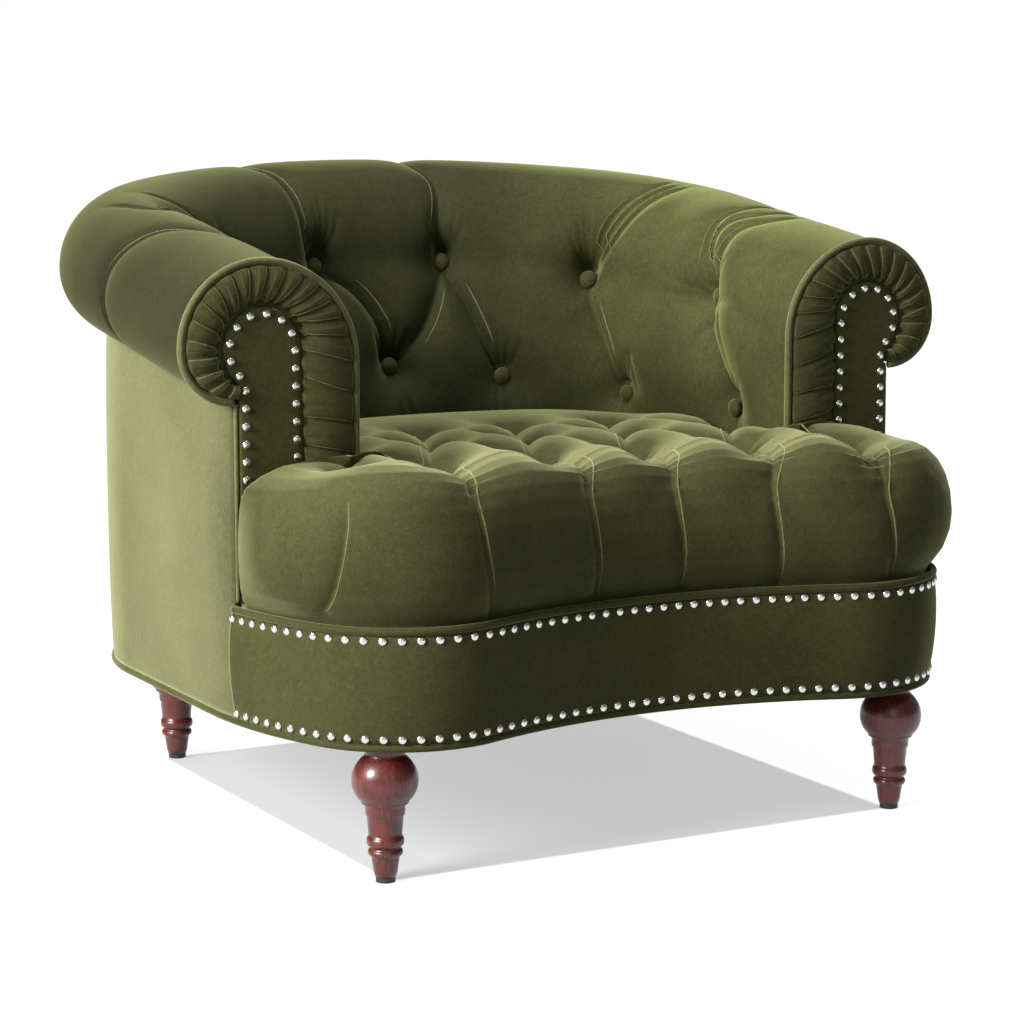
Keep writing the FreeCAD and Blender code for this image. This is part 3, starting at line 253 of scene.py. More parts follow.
def meshed(name: str, shape: bmesh.types.BMesh) -> Mesh:
    """Turn a finished bmesh into a mesh."""
    mesh = bpy.data.meshes.new(name)
    shape.to_mesh(mesh)
    shape.free()
    return mesh


def grid_mesh(name: str, points: Array, wrap: bool = False, caps: bool = False) -> Mesh:
    """Lay a bmesh grid over surface points.

    Args:
        name: Name of the mesh.
        points: Rows by columns by 3.
        wrap: Whether the last column meets the first.
        caps: Whether the open ends are filled.

    Returns:
        The mesh, its faces pointing outwards where it is closed.
    """
    rows, columns = points.shape[:2]
    sheet = bmesh.new()
    bmesh.ops.create_grid(sheet, x_segments=rows - 1, y_segments=columns - 1, size=1)
    mesh = meshed(name, sheet)
    flat = np.empty(len(mesh.vertices) * 3)
    mesh.vertices.foreach_get("co", flat)
    flat = flat.reshape(-1, 3)
    i = np.rint((flat[:, 0] + 1) / 2 * (rows - 1)).astype(int)
    j = np.rint((flat[:, 1] + 1) / 2 * (columns - 1)).astype(int)
    mesh.vertices.foreach_set("co", points[i, j].ravel())
    closed = bmesh.new()
    closed.from_mesh(mesh)
    if wrap:
        bmesh.ops.remove_doubles(closed, verts=closed.verts, dist=1e-6)
    if caps:
        rim = [edge for edge in closed.edges if edge.is_boundary]
        bmesh.ops.holes_fill(closed, edges=rim, sides=0)
    bmesh.ops.recalc_face_normals(closed, faces=closed.faces)
    closed.to_mesh(mesh)
    closed.free()
    return mesh


def joined(name: str, meshes: list[Mesh]) -> Mesh:
    """Put several meshes into one and drop them."""
    whole = bmesh.new()
    for mesh in meshes:
        whole.from_mesh(mesh)
        bpy.data.meshes.remove(mesh)
    return meshed(name, whole)


def slab(rim: Array, side: int, front: float,
         depth: float) -> tuple[bmesh.types.BMesh, bmesh.types.BMFace]:
    """Extrude an outline along the depth.

    Args:
        rim: Points of the outline as x and z.
        side: 1 on the right, -1 on the left.
        front: Depth of the outline.
        depth: Length of the extrusion, towards the back.

    Returns:
        The solid and its extruded face.
    """
    shape = bmesh.new()
    verts = [shape.verts.new((side * x, front, z)) for x, z in rim]
    made = bmesh.ops.extrude_face_region(shape, geom=[shape.faces.new(verts)])["geom"]
    moved = [item for item in made if isinstance(item, bmesh.types.BMVert)]
    bmesh.ops.translate(shape, vec=(0, depth, 0), verts=moved)
    return shape, next(item for item in made if isinstance(item, bmesh.types.BMFace))


def tube(name: str, path: Array, radius: float, sides: int = 12) -> Mesh:
    """Sweep a round section along a path.

    Args:
        name: Name of the mesh.
        path: Points in order.
        radius: Radius of the section, or one for each point.
        sides: Corners of the section.

    Returns:
        A closed mesh.
    """
    tangent = np.gradient(path, axis=0)
    tangent /= np.linalg.norm(tangent, axis=1)[:, None]
    across = np.empty_like(path)
    start = np.cross(tangent[0], (0.31, 0.17, 0.93))
    across[0] = start / np.linalg.norm(start)
    for index in range(1, len(path)):
        turned = across[index - 1] - tangent[index] * (across[index - 1] @ tangent[index])
        across[index] = turned / np.linalg.norm(turned)
    other = np.cross(tangent, across)
    angle = np.linspace(0, 2 * math.pi, sides + 1)
    angle[-1] = 0
    reach = np.broadcast_to(np.asarray(radius, float), (len(path),))[:, None, None]
    rings = (path[:, None, :] + reach * (across[:, None, :] * np.cos(angle)[None, :, None]
                                         + other[:, None, :] * np.sin(angle)[None, :, None]))
    return grid_mesh(name, rings, wrap=True, caps=True)


def resampled(path: Array, count: int) -> Array:
    """Space points evenly along a path."""
    steps = np.linalg.norm(np.diff(path, axis=0), axis=1)
    run = np.concatenate([[0], np.cumsum(steps)])
    even = np.linspace(0, run[-1], count)
    return np.stack([np.interp(even, run, path[:, axis]) for axis in range(path.shape[1])], -1)


def rounded(corners: Array, count: int = 34) -> Array:
    """Curve near a line of corner points, from the first to the last."""
    for _ in range(3):
        pairs = np.stack([corners[:-1] * 0.75 + corners[1:] * 0.25,
                          corners[:-1] * 0.25 + corners[1:] * 0.75], 1)
        corners = np.concatenate([corners[:1], pairs.reshape(-1, corners.shape[1]), corners[-1:]])
    return resampled(corners, count)


def bowed(start: tuple[float, float], end: tuple[float, float], bow: float,
          count: int = 28) -> Array:
    """Curve between two points of a plane, bowed to its left by a share of its length."""
    a, b = np.array(start), np.array(end)
    along = np.linspace(0, 1, count)[:, None]
    aside = np.array([-(b - a)[1], (b - a)[0]]) * bow
    return a + (b - a) * along + aside * 4 * along * (1 - along)


@dataclass(frozen=True)
class Crease:
    """How a fold is drawn in: its depth at both ends, its reach and its raised edge.

    A fine crease adds to the others, where a deep one only joins them. A cord, which carries a
    painted highlight along the fold's edge, is given by its distance from the fold and its radius.
    """

    depth: tuple[float, float]
    reach: float
    edge: float = 0.0
    edge_reach: float = 0.008
    fine: bool = False
    cord: tuple[float, ...] = ()


@dataclass(frozen=True)
class Fold:
    """Line along which a padded surface is drawn in.

    The left of the path, seen from outside, keeps its height as the fold's edge, or the
    right where the side is -1. The cord shows along a part of the path.
    """

    path: Array
    crease: Crease
    side: int = 1
    corded: tuple[int | None, int | None] = (None, None)


@dataclass(frozen=True)
class Hollow:
    """Round place where a button or a stitch draws the padding in."""

    place: Array
    depth: float
    reach: float


class Skin:
    """Surface of a padded piece, pressed and read as points."""

    edge_width = 0.0016
    cut_off = 5

    def __init__(self, mesh: Mesh) -> None:
        """Read the mesh's points and normals."""
        self.mesh = mesh
        self.refresh()

    def refresh(self) -> None:
        """Read the points, the normals and the search tree again."""
        self.points = np.empty(len(self.mesh.vertices) * 3)
        self.mesh.vertices.foreach_get("co", self.points)
        self.points = self.points.reshape(-1, 3)
        self.normals = np.empty(len(self.mesh.vertices) * 3)
        self.mesh.vertex_normals.foreach_get("vector", self.normals)
        self.normals = self.normals.reshape(-1, 3)
        shape = bmesh.new()
        shape.from_mesh(self.mesh)
        self.tree = BVHTree.FromBMesh(shape)
        shape.free()

    def snapped(self, path: Array, lift: float = 0.0) -> Array:
        """Move points to the nearest surface, then along its normal."""
        result = []
        for point in path:
            place, normal, _, _ = self.tree.find_nearest(Vector(point))
            result.append(np.array(place) + np.array(normal) * lift)
        return np.array(result)

    def edge(self, path: Array, aside: float, radius: float) -> Mesh:
        """Thin cord along one side of a fold, tapering to both ends.

        Args:
            path: The fold.
            aside: Distance to the left of it, seen from outside.
            radius: Greatest radius.

        Returns:
            A closed mesh.
        """
        line = resampled(path, 64)
        heading = np.gradient(line, axis=0)
        heading /= np.linalg.norm(heading, axis=1)[:, None]
        facing = np.array([self.tree.find_nearest(Vector(point))[1] for point in line])
        line = self.snapped(line + np.cross(facing, heading) * aside, 0.0)
        for _ in range(8):
            line[1:-1] = line[1:-1] * 0.5 + (line[:-2] + line[2:]) * 0.25
        share = np.linspace(0, 1, len(line))
        taper = np.clip(np.minimum(share, 1 - share) * 6, 0.12, 1) ** 0.7
        return tube("edge", line, radius * taper, 8)

    def cords(self, name: str, folds: list[Fold]) -> Mesh:
        """Cords along the folds that have one, as one mesh."""
        corded = [fold for fold in folds if fold.crease.cord]
        return joined(name, [self.edge(fold.path[slice(*fold.corded)],
                                       fold.crease.cord[0] * fold.side, fold.crease.cord[1])
                             for fold in corded])

    def near(self, path: Array, limit: float) -> tuple[Array, Array, Array, Array]:
        """Find the points within a distance of a path.

        Args:
            path: Points in order.
            limit: Greatest distance.

        Returns:
            Indices, distances, signed distances to the left, and shares of the path.
        """
        low, high = path.min(0) - limit, path.max(0) + limit
        chosen = np.flatnonzero(np.all((self.points > low) & (self.points < high), axis=1))
        spot = self.points[chosen]
        best = np.full(len(chosen), np.inf)
        share = np.zeros(len(chosen))
        offset = np.zeros((len(chosen), 3))
        heading = np.zeros((len(chosen), 3))
        lengths = np.linalg.norm(np.diff(path, axis=0), axis=1)
        runs = np.concatenate([[0], np.cumsum(lengths)])
        for index, (a, b) in enumerate(zip(path, path[1:])):
            span = b - a
            t = np.clip((spot - a) @ span / max(span @ span, 1e-12), 0, 1)
            away = spot - (a + t[:, None] * span)
            distance = np.linalg.norm(away, axis=1)
            closer = distance < best
            best = np.where(closer, distance, best)
            share = np.where(closer, (runs[index] + t * lengths[index]) / runs[-1], share)
            offset[closer] = away[closer]
            heading[closer] = span / max(lengths[index], 1e-9)
        left = np.einsum("ij,ij->i", np.cross(self.normals[chosen], heading), offset)
        kept = best < limit
        return chosen[kept], best[kept], left[kept], share[kept]

    def press(self, folds: list[Fold], hollows: list[Hollow]) -> None:
        """Draw the surface in along folds and at hollows.

        Args:
            folds: Lines, each with its depth and reach.
            hollows: Buttons and stitches.
        """
        sunk = np.zeros(len(self.points))
        fine = np.zeros(len(self.points))
        raised = np.zeros(len(self.points))
        for fold in folds:
            crease = fold.crease
            index, distance, left, share = self.near(fold.path, crease.reach * self.cut_off)
            depth = crease.depth[0] + (crease.depth[1] - crease.depth[0]) * share
            amount = depth * np.exp(-distance / crease.reach)
            if crease.fine:
                fine[index] += amount
            else:
                sunk[index] += amount ** 3
            if crease.edge:
                ending = np.clip(np.minimum(share, 1 - share) * 8, 0, 1)
                side = np.tanh(left / self.edge_width) * np.exp(-distance / crease.edge_reach)
                lift = crease.edge * fold.side * side * ending
                raised[index] = np.where(np.abs(lift) > np.abs(raised[index]), lift,
                                         raised[index])
        for hollow in hollows:
            distance = np.linalg.norm(self.points - hollow.place, axis=1)
            index = np.flatnonzero(distance < hollow.reach * self.cut_off)
            sunk[index] += (hollow.depth * np.exp(-(distance[index] / hollow.reach) ** 1.3)) ** 3
        moved = self.points + self.normals * (raised - np.cbrt(sunk) - fine)[:, None]
        self.mesh.vertices.foreach_set("co", moved.ravel())
        self.mesh.update()
        self.refresh()


class Sheet:
    """Node sheet of one material."""

    def __init__(self, name: str) -> None:
        """Start an empty material with its output."""
        self.material = bpy.data.materials.new(name)
        self.material.use_nodes = True
        self.tree = self.material.node_tree
        self.tree.nodes.clear()
        self.output = self.tree.nodes.new("ShaderNodeOutputMaterial")

    def node(self, kind: str, **settings: object) -> bpy.types.Node:
        """Add a node and set its properties."""
        node = self.tree.nodes.new(f"ShaderNode{kind}")
        for key, value in settings.items():
            setattr(node, key, value)
        return node

    def link(self, source: Socket, target: Socket) -> None:
        """Join two sockets."""
        self.tree.links.new(source, target)

    def place(self, scale: tuple[float, float, float] = (1, 1, 1)) -> Socket:
        """Object coordinates, scaled."""
        coordinates = self.node("TexCoord")
        mapping = self.node("Mapping")
        mapping.inputs["Scale"].default_value = scale
        self.link(coordinates.outputs["Object"], mapping.inputs["Vector"])
        return mapping.outputs["Vector"]

    def noise(self, scale: float, detail: float = 2, roughness: float = 0.5,
              stretch: tuple[float, float, float] = (1, 1, 1)) -> Socket:
        """Noise value on object coordinates."""
        noise = self.node("TexNoise")
        noise.inputs["Scale"].default_value = scale
        noise.inputs["Detail"].default_value = detail
        noise.inputs["Roughness"].default_value = roughness
        self.link(self.place(stretch), noise.inputs["Vector"])
        return noise.outputs["Fac"]

    def ramp(self, source: Socket, stops: list[tuple[float, Colour]]) -> Socket:
        """Colour ramp over a value."""
        ramp = self.node("ValToRGB")
        elements = ramp.color_ramp.elements
        while len(elements) < len(stops):
            elements.new(0.5)
        for element, (place, colour) in zip(elements, stops):
            element.position = place
            element.color = (*colour, 1)
        self.link(source, ramp.inputs["Fac"])
        return ramp.outputs["Color"]

    def mix(self, share: Socket, first: Socket, second: Socket) -> Socket:
        """Mix of two colours by a value."""
        mix = self.node("Mix", data_type="RGBA")
        self.link(share, mix.inputs[0])
        self.link(first, mix.inputs[6])
        self.link(second, mix.inputs[7])
        return mix.outputs[2]

    def multiplied(self, first: Socket, second: Socket) -> Socket:
        """Product of two colours."""
        product = self.node("Mix", data_type="RGBA", blend_type="MULTIPLY")
        product.inputs[0].default_value = 1.0
        self.link(first, product.inputs[6])
        self.link(second, product.inputs[7])
        return product.outputs[2]

    def axes(self) -> bpy.types.bpy_prop_collection:
        """Object coordinates as three values, X, Y and Z."""
        split = self.node("SeparateXYZ")
        self.link(self.place(), split.inputs["Vector"])
        return split.outputs

    def remapped(self, source: Socket, start: float, end: float,
                 low: float = 0.0, high: float = 1.0,
                 **settings: object) -> Socket:
        """Value carried from one range to another."""
        step = self.node("MapRange", **settings)
        for name, value in (("From Min", start), ("From Max", end), ("To Min", low),
                            ("To Max", high)):
            step.inputs[name].default_value = value
        self.link(source, step.inputs["Value"])
        return step.outputs["Result"]

    def computed(self, operation: str, *sources: Socket, **settings: object) -> Socket:
        """Result of one arithmetic step."""
        step = self.node("Math", operation=operation, **settings)
        for source, target in zip(sources, step.inputs):
            self.link(source, target)
        return step.outputs["Value"]

    def bump(self, height: Socket, strength: float, distance: float,
             under: Socket | None = None) -> Socket:
        """Bump from a height, over an earlier normal if one is given."""
        bump = self.node("Bump")
        bump.inputs["Strength"].default_value = strength
        bump.inputs["Distance"].default_value = distance
        self.link(height, bump.inputs["Height"])
        if under:
            self.link(under, bump.inputs["Normal"])
        return bump.outputs["Normal"]

    def surface(self, colour: Socket, normal: Socket, **constants: object) -> Material:
        """Principled surface of a colour, a normal and constant sockets."""
        shader = self.node("BsdfPrincipled")
        self.link(colour, shader.inputs["Base Color"])
        self.link(normal, shader.inputs["Normal"])
        for key, value in constants.items():
            shader.inputs[key.replace("_", " ").title().replace("Ior", "IOR")].default_value = value
        self.link(shader.outputs["BSDF"], self.output.inputs["Surface"])
        return self.material


@dataclass(frozen=True)
class VelvetFinish:
    """Short-pile cotton velvet: dark where it faces the eye, with a painted sheen that turns it
    pale along its edges.
    """

    name: str
    deep: Colour = (0.034, 0.0358, 0.0110)
    mid: Colour = (0.064, 0.0660, 0.0228)
    # pale is the colour of the painted sheen at grazing view.
    pale: Colour = (0.27, 0.275, 0.122)
    sheen: float = 0.18
    # These two scale the colour: painted shade on the far left, painted light on the right.
    left_shade: float = 1.0
    right_light: float = 1.0

    def make(self) -> Material:
        """Build the material."""
        sheet = Sheet(self.name)
        nap = sheet.ramp(sheet.noise(7, 4, 0.6), [(0.36, self.deep), (0.68, self.mid)])
        grain = sheet.ramp(sheet.noise(170, 3, 0.6), [(0.3, self.deep), (0.75, self.mid)])
        patch = sheet.noise(42, 4, 0.65)
        base = sheet.mix(patch, nap, grain)
        # Painted sheen: towards grazing view the colour is mixed towards the pale tone.
        edge = sheet.node("LayerWeight")
        edge.inputs["Blend"].default_value = 0.36
        painted_pale = sheet.remapped(edge.outputs["Facing"], 0.40, 1.0)
        painted_sheen = sheet.ramp(sheet.noise(16, 3, 0.6), [
            (0.3, tuple(value * 0.82 for value in self.pale)), (0.75, self.pale)])
        colour = self.paint_side_light(sheet, sheet.mix(painted_pale, base, painted_sheen))
        pile = sheet.bump(sheet.noise(900, 2, 0.7), 0.25, 0.0006)
        normal = sheet.bump(sheet.noise(75, 3, 0.55), 0.12, 0.003, pile)
        return sheet.surface(colour, normal, roughness=0.82, sheen_weight=self.sheen,
                             sheen_roughness=0.4, sheen_tint=(0.86, 0.87, 0.50, 1),
                             specular_ior_level=0.12)

    def paint_side_light(self, sheet: Sheet, colour: Socket) -> Socket:
        """Paint shade on the far left, where the nap lies away from the light, and paint light on
        the right, which faces the lamp on the left.
        """
        side_light_and_shade = sheet.ramp(sheet.remapped(sheet.axes()["X"], -0.50, 0.50), [
            (place, (level, level, level)) for place, level in (
                (0.0, self.left_shade), (0.12, 1.0), (0.64, 1.0), (0.82, self.right_light))])
        flecks = sheet.ramp(sheet.noise(620, 2, 0.6), [
            (0.34, (0.80, 0.80, 0.76)), (0.66, (1.18, 1.18, 1.16))])
        return sheet.multiplied(sheet.multiplied(colour, side_light_and_shade), flecks)


@dataclass(frozen=True)
class WoodFinish:
    """Turned or sawn wood with its grain along one axis."""

    name: str
    dark: Colour
    light: Colour
    stretch: tuple[float, float, float] = (1, 1, 0.06)
    roughness: float = 0.3
    coat: float = 0.0

    def make(self) -> Material:
        """Build the material."""
        sheet = Sheet(self.name)
        bands = sheet.noise(70, 5, 0.6, self.stretch)
        pores = sheet.noise(420, 3, 0.6, self.stretch)
        grain = sheet.ramp(bands, [(0.32, self.dark), (0.66, self.light)])
        specks = sheet.ramp(pores, [(0.38, tuple(value * 0.6 for value in self.dark)),
                                    (0.52, self.light)])
        colour = sheet.mix(sheet.noise(30, 2, 0.5, self.stretch), grain, specks)
        normal = sheet.bump(pores, 0.06, 0.0006)
        return sheet.surface(colour, normal, roughness=self.roughness, coat_weight=self.coat,
                             coat_roughness=0.08)


@dataclass(frozen=True)
class MetalFinish:
    """Polished or plated metal with fine unevenness."""

    name: str
    colour: Colour
    roughness: float

    def make(self) -> Material:
        """Build the material."""
        sheet = Sheet(self.name)
        tone = sheet.ramp(sheet.noise(300, 2), [
            (0.3, tuple(value * 0.88 for value in self.colour)), (0.7, self.colour)])
        normal = sheet.bump(sheet.noise(700, 2), 0.05, 0.0004)
        return sheet.surface(tone, normal, metallic=1.0, roughness=self.roughness)


@dataclass(frozen=True)
class ClothFinish:
    """Plain woven or spun cloth, webbing or moulded plastic in two close tones."""

    name: str
    dark: Colour
    light: Colour
    weave: float = 1200
    roughness: float = 0.9

    def make(self) -> Material:
        """Build the material."""
        sheet = Sheet(self.name)
        threads = sheet.node("TexWave", wave_type="BANDS", bands_direction="X")
        threads.inputs["Scale"].default_value = self.weave / 6
        threads.inputs["Distortion"].default_value = 1.5
        sheet.link(sheet.place(), threads.inputs["Vector"])
        blotch = sheet.noise(self.weave / 20, 4, 0.6)
        tone = sheet.ramp(blotch, [(0.3, self.dark), (0.7, self.light)])
        colour = sheet.mix(threads.outputs["Fac"], tone,
                           sheet.ramp(blotch, [(0.2, self.light), (0.8, self.dark)]))
        normal = sheet.bump(sheet.noise(self.weave, 2), 0.3, 0.0006)
        return sheet.surface(colour, normal, roughness=self.roughness)


class Slot(Enum):
    """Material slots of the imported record."""

    VELVET = "velvet"
    LEGS = "leg_wood"
    NAILS = "nail_metal"
    FRAME = "frame_wood"
    STEEL = "fastener_steel"
    GLIDES = "glide_plastic"
    LINING = "lining_cloth"
    WEBBING = "webbing"


class Finishes:
    """Materials of the chair, one for each slot, and the velvet's variants."""

    def __init__(self) -> None:
        """Build every material once."""
        self.by_slot = {
            Slot.VELVET: VelvetFinish("olive_velvet").make(),
            Slot.LEGS: WoodFinish("polished_cherry", (0.030, 0.0050, 0.0036),
                                  (0.135, 0.020, 0.0135), roughness=0.36, coat=0.2).make(),
            Slot.NAILS: MetalFinish("pearl_nail", (0.66, 0.645, 0.62), 0.26).make(),
            Slot.FRAME: WoodFinish("sawn_poplar", (0.36, 0.25, 0.14), (0.55, 0.42, 0.27),
                                   (0.12, 1, 1), 0.7).make(),
            Slot.STEEL: MetalFinish("zinc_steel", (0.56, 0.57, 0.58), 0.35).make(),
            Slot.GLIDES: ClothFinish("dark_glide", (0.012, 0.011, 0.010), (0.030, 0.027, 0.025),
                                     900, 0.5).make(),
            Slot.LINING: ClothFinish("black_lining", (0.010, 0.010, 0.011),
                                     (0.028, 0.028, 0.030)).make(),
            Slot.WEBBING: ClothFinish("seat_webbing", (0.22, 0.17, 0.10), (0.36, 0.29, 0.18),
                                      800).make(),
        }
        # Painted highlight: a pale velvet for the thin cords along fold edges and seams.
        self.pale_highlight = VelvetFinish("pale_highlight_velvet", (0.085, 0.088, 0.034),
                                      (0.16, 0.163, 0.066), (0.40, 0.405, 0.20), 0.4).make()
        # Painted light: a paler copy of the velvet, for the outside cover and the arm welts,
        # standing for the light from the left.
        self.painted_pale = VelvetFinish("painted_lit_velvet", (0.066, 0.067, 0.028),
                                    (0.125, 0.127, 0.055), (0.38, 0.385, 0.19), 0.4).make()
        # Painted shade: a darker copy of the velvet for the back pad, with painted shade on the far
        # left and painted light on the right.
        self.rolled = VelvetFinish("shaded_pad_velvet", (0.017, 0.0181, 0.0056),
                                   (0.034, 0.0362, 0.0115), (0.145, 0.155, 0.054), 0.07,
                                   0.60, 2.1).make()

    def dress_nodes(self) -> None:
        """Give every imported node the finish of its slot."""
        slots = {item["node"]: item["material_slot"] for item in frame["record"]["subparts"]}
        for name, node in frame["nodes"].items():
            finish = self.by_slot[Slot(slots[name])]
            if not node.material_slots:
                node.data.materials.append(finish)
            for place in node.material_slots:
                place.material = finish


@dataclass
class Chair:
    """What every sub-assembly shares: the finishes and how a piece is put on the chair."""

    finishes: Finishes

    def hand_in(self, name: str, mesh: Mesh, slot: Slot, *nodes: str,
                finish: Material | None = None, padded: float = 0) -> None:
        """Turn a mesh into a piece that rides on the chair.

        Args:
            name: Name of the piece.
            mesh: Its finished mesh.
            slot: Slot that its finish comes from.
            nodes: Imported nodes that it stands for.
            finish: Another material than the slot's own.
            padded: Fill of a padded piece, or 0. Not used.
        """
        mesh.materials.clear()
        mesh.materials.append(finish or self.finishes.by_slot[slot])
        mesh.shade_smooth()
        piece = bpy.data.objects.new(name, mesh)
        bpy.context.scene.collection.objects.link(piece)
        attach(piece, "root")
        if nodes:
            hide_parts(*nodes)
        LOG.info("%s: %d vertices", name, len(mesh.vertices))


@dataclass
class BackPad(Chair):
    """Inside back and arms with the rolled top: one deep-buttoned horseshoe."""

    wall_top: float = 0.415
    belly: float = 0.016
    shoulder_reach: tuple[tuple[float, ...], ...] = ((0, 0.763, 1), (0.098, 0.122, 0.117))
    lip_fold: float = 0.005
    rail_reach: float = 0.013
    rail_drop: float = 0.011
    board_gap: float = 0.0003
    easing: float = 0.10
    smoothing: int = 14
    rows: int = 560
    diamond: Crease = Crease((0.028, 0.028), 0.026, 0.0044, 0.012, cord=(0.0012, 0.0009))
    over_roll: Crease = Crease((0.019, 0.0020), 0.014, 0.0026, cord=(0.0008, 0.0006))
    soft: Crease = Crease((0.0060, 0.0010), 0.006, fine=True)
    foot: Crease = Crease((0.010, 0.007), 0.010, 0.0018, 0.006)
    middle_foot: Crease = Crease((0.011, 0.008), 0.011, 0.0018, 0.006)
    ray: Crease = Crease((0.0088, 0.0), 0.0054, fine=True)
    hollow: tuple[float, float] = (0.032, 0.032)
    upper: Line = ((0.123, 2.0), (0.389, 1.944), (0.763, 2.058))
    lower: Line = ((0.0, 1.383), (0.223, 1.316), (0.543, 1.242), (0.855, 1.311))
    middle_folds: Lines = (
        ((-0.123, 2.0), (-0.094, 1.969), (-0.048, 1.843), (-0.015, 1.655), (-0.004, 1.39)),
        ((0.120, 2.0), (0.113, 1.930), (0.098, 1.80), (0.070, 1.616), (0.004, 1.39)))
    side_folds: Lines = (
        ((0.123, 2.0), (0.142, 1.893), (0.167, 1.709), (0.190, 1.522), (0.220, 1.32)),
        ((0.389, 1.944), (0.414, 1.779), (0.463, 1.558), (0.543, 1.25)),
        ((0.763, 2.058), (0.792, 1.805), (0.835, 1.572), (0.855, 1.315)))
    soft_folds: Lines = (
        ((0.578, 1.511), (0.600, 1.400), (0.618, 1.282)),
        ((0.781, 1.930), (0.765, 1.771), (0.770, 1.667)),
        ((0.800, 1.960), (0.826, 1.780), (0.868, 1.560)),
        ((0.763, 2.060), (0.720, 2.080), (0.672, 2.100)),
        ((0.763, 2.050), (0.720, 2.010), (0.670, 1.985)),
        ((0.763, 2.040), (0.730, 1.970), (0.691, 1.936)),
        ((0.800, 2.060), (0.840, 2.070), (0.885, 2.040)))
    left_roll_folds: Lines = (
        ((-0.125, 2.02), (-0.158, 2.109), (-0.157, 2.356), (-0.157, 2.636), (-0.163, 2.860),
         (-0.178, 2.989), (-0.190, 3.3), (-0.195, 3.9)),
        ((-0.389, 1.97), (-0.425, 2.297), (-0.456, 2.533), (-0.492, 2.749), (-0.51, 3.0)),
        ((-0.399, 2.00), (-0.457, 2.249), (-0.499, 2.509), (-0.56, 2.80), (-0.633, 2.927),
         (-0.590, 3.121), (-0.553, 3.330)),
        ((-0.763, 2.10), (-0.765, 2.5), (-0.764, 2.938), (-0.740, 3.136), (-0.732, 3.383),
         (-0.718, 3.611), (-0.714, 3.846), (-0.720, 4.134), (-0.729, 4.466), (-0.722, 4.704)))
    right_roll_folds: Lines = (
        ((0.120, 2.02), (0.110, 2.20), (0.111, 2.32), (0.117, 2.594), (0.109, 2.749),
         (0.088, 2.918), (0.070, 3.3), (0.065, 3.9)),
        ((0.389, 2.0), (0.425, 2.297), (0.456, 2.533), (0.492, 2.749), (0.52, 3.0)),
        ((0.397, 2.0), (0.440, 2.282), (0.477, 2.520), (0.512, 2.733), (0.54, 2.95)),
        ((0.405, 2.0), (0.457, 2.249), (0.499, 2.509), (0.537, 2.766), (0.56, 2.95)),
        ((0.770, 2.12), (0.731, 2.525), (0.729, 2.714), (0.767, 2.910), (0.780, 3.3)),
        ((0.763, 2.12), (0.728, 2.446), (0.703, 2.705), (0.717, 2.934), (0.730, 3.4)),
        ((0.780, 2.12), (0.767, 2.468), (0.770, 2.673), (0.802, 2.840), (0.82, 3.1)))
    foot_folds: Lines = (
        ((0.220, 1.300), (0.212, 1.191), (0.220, 1.035)),
        ((0.226, 1.300), (0.229, 1.191), (0.240, 1.034)),
        ((0.540, 1.240), (0.531, 1.049)), ((0.550, 1.230), (0.569, 1.040)),
        ((0.560, 1.240), (0.607, 1.044)), ((0.868, 1.310), (0.886, 1.20), (0.889, 1.05)))
    middle_feet: Lines = (
        ((-0.0036, 1.36), (-0.004, 1.19), (0.008, 1.03)),
        ((0.003, 1.36), (0.018, 1.19), (0.03, 1.03)))
    fan_spread: float = 0.075
    fan_start: float = 0.085
    upper_fan: tuple[int, float] = (6, 0.46)
    lower_fan: tuple[int, float] = (4, 0.20)
    button_lean: float = 0.12
    button_lift: tuple[float, float] = (0.007, 0.013)
    patch: Patch = field(init=False)
    skin: Skin = field(init=False)
    folds: list[Fold] = field(default_factory=list)

    def section(self, v: Array, q: Array, well: Array, belly: Array) -> tuple[Array, Array, Array]:
        """Section of the pad at a station.

        Args:
            v: Places along the section, 0 at the deck to 5 at the lip, then hidden to 9.
            q: Reach from the roll's middle to the inside shoulder.
            well: Reach from the roll's middle to the inside wall.
            belly: Swell of the inside between the wall and the shoulder.

        Returns:
            Distances outward, levels above the roll's plane, and shares of each stretch.
        """
        t = v - np.floor(v)
        quarter = math.pi / 2
        fold, rail = self.lip_fold, self.rail_reach
        out = np.select(
            [v < 1, v < 2, v < 3, v < 4, v <= 5, v < 6, v < 7, v < 8],
            [-well,
             -well + (well - q) * t - belly * 4 * t * (1 - t),
             -q * np.cos(t * quarter),
             ROLL_RADIUS * np.sin(t * quarter),
             LIP_OUT + (ROLL_RADIUS - LIP_OUT) * np.cos((v - 4) * quarter),
             LIP_OUT - fold * t,
             LIP_OUT - fold - (LIP_OUT - fold + rail) * t,
             -rail + 0 * t],
            -rail - (well - rail) * (v - 8))
        level = np.select(
            [v < 2, v < 3, v < 4, v <= 5, v < 6, v < 7],
            [0 * v, -INNER_DROP + (ROLL_RADIUS + INNER_DROP) * np.sin(t * quarter),
             ROLL_RADIUS * np.cos(t * quarter), -LIP_DROP * np.sin((v - 4) * quarter),
             -LIP_DROP + (LIP_DROP - self.rail_drop) * t, -self.rail_drop + 0 * v],
            -self.rail_drop)
        return out, level, t

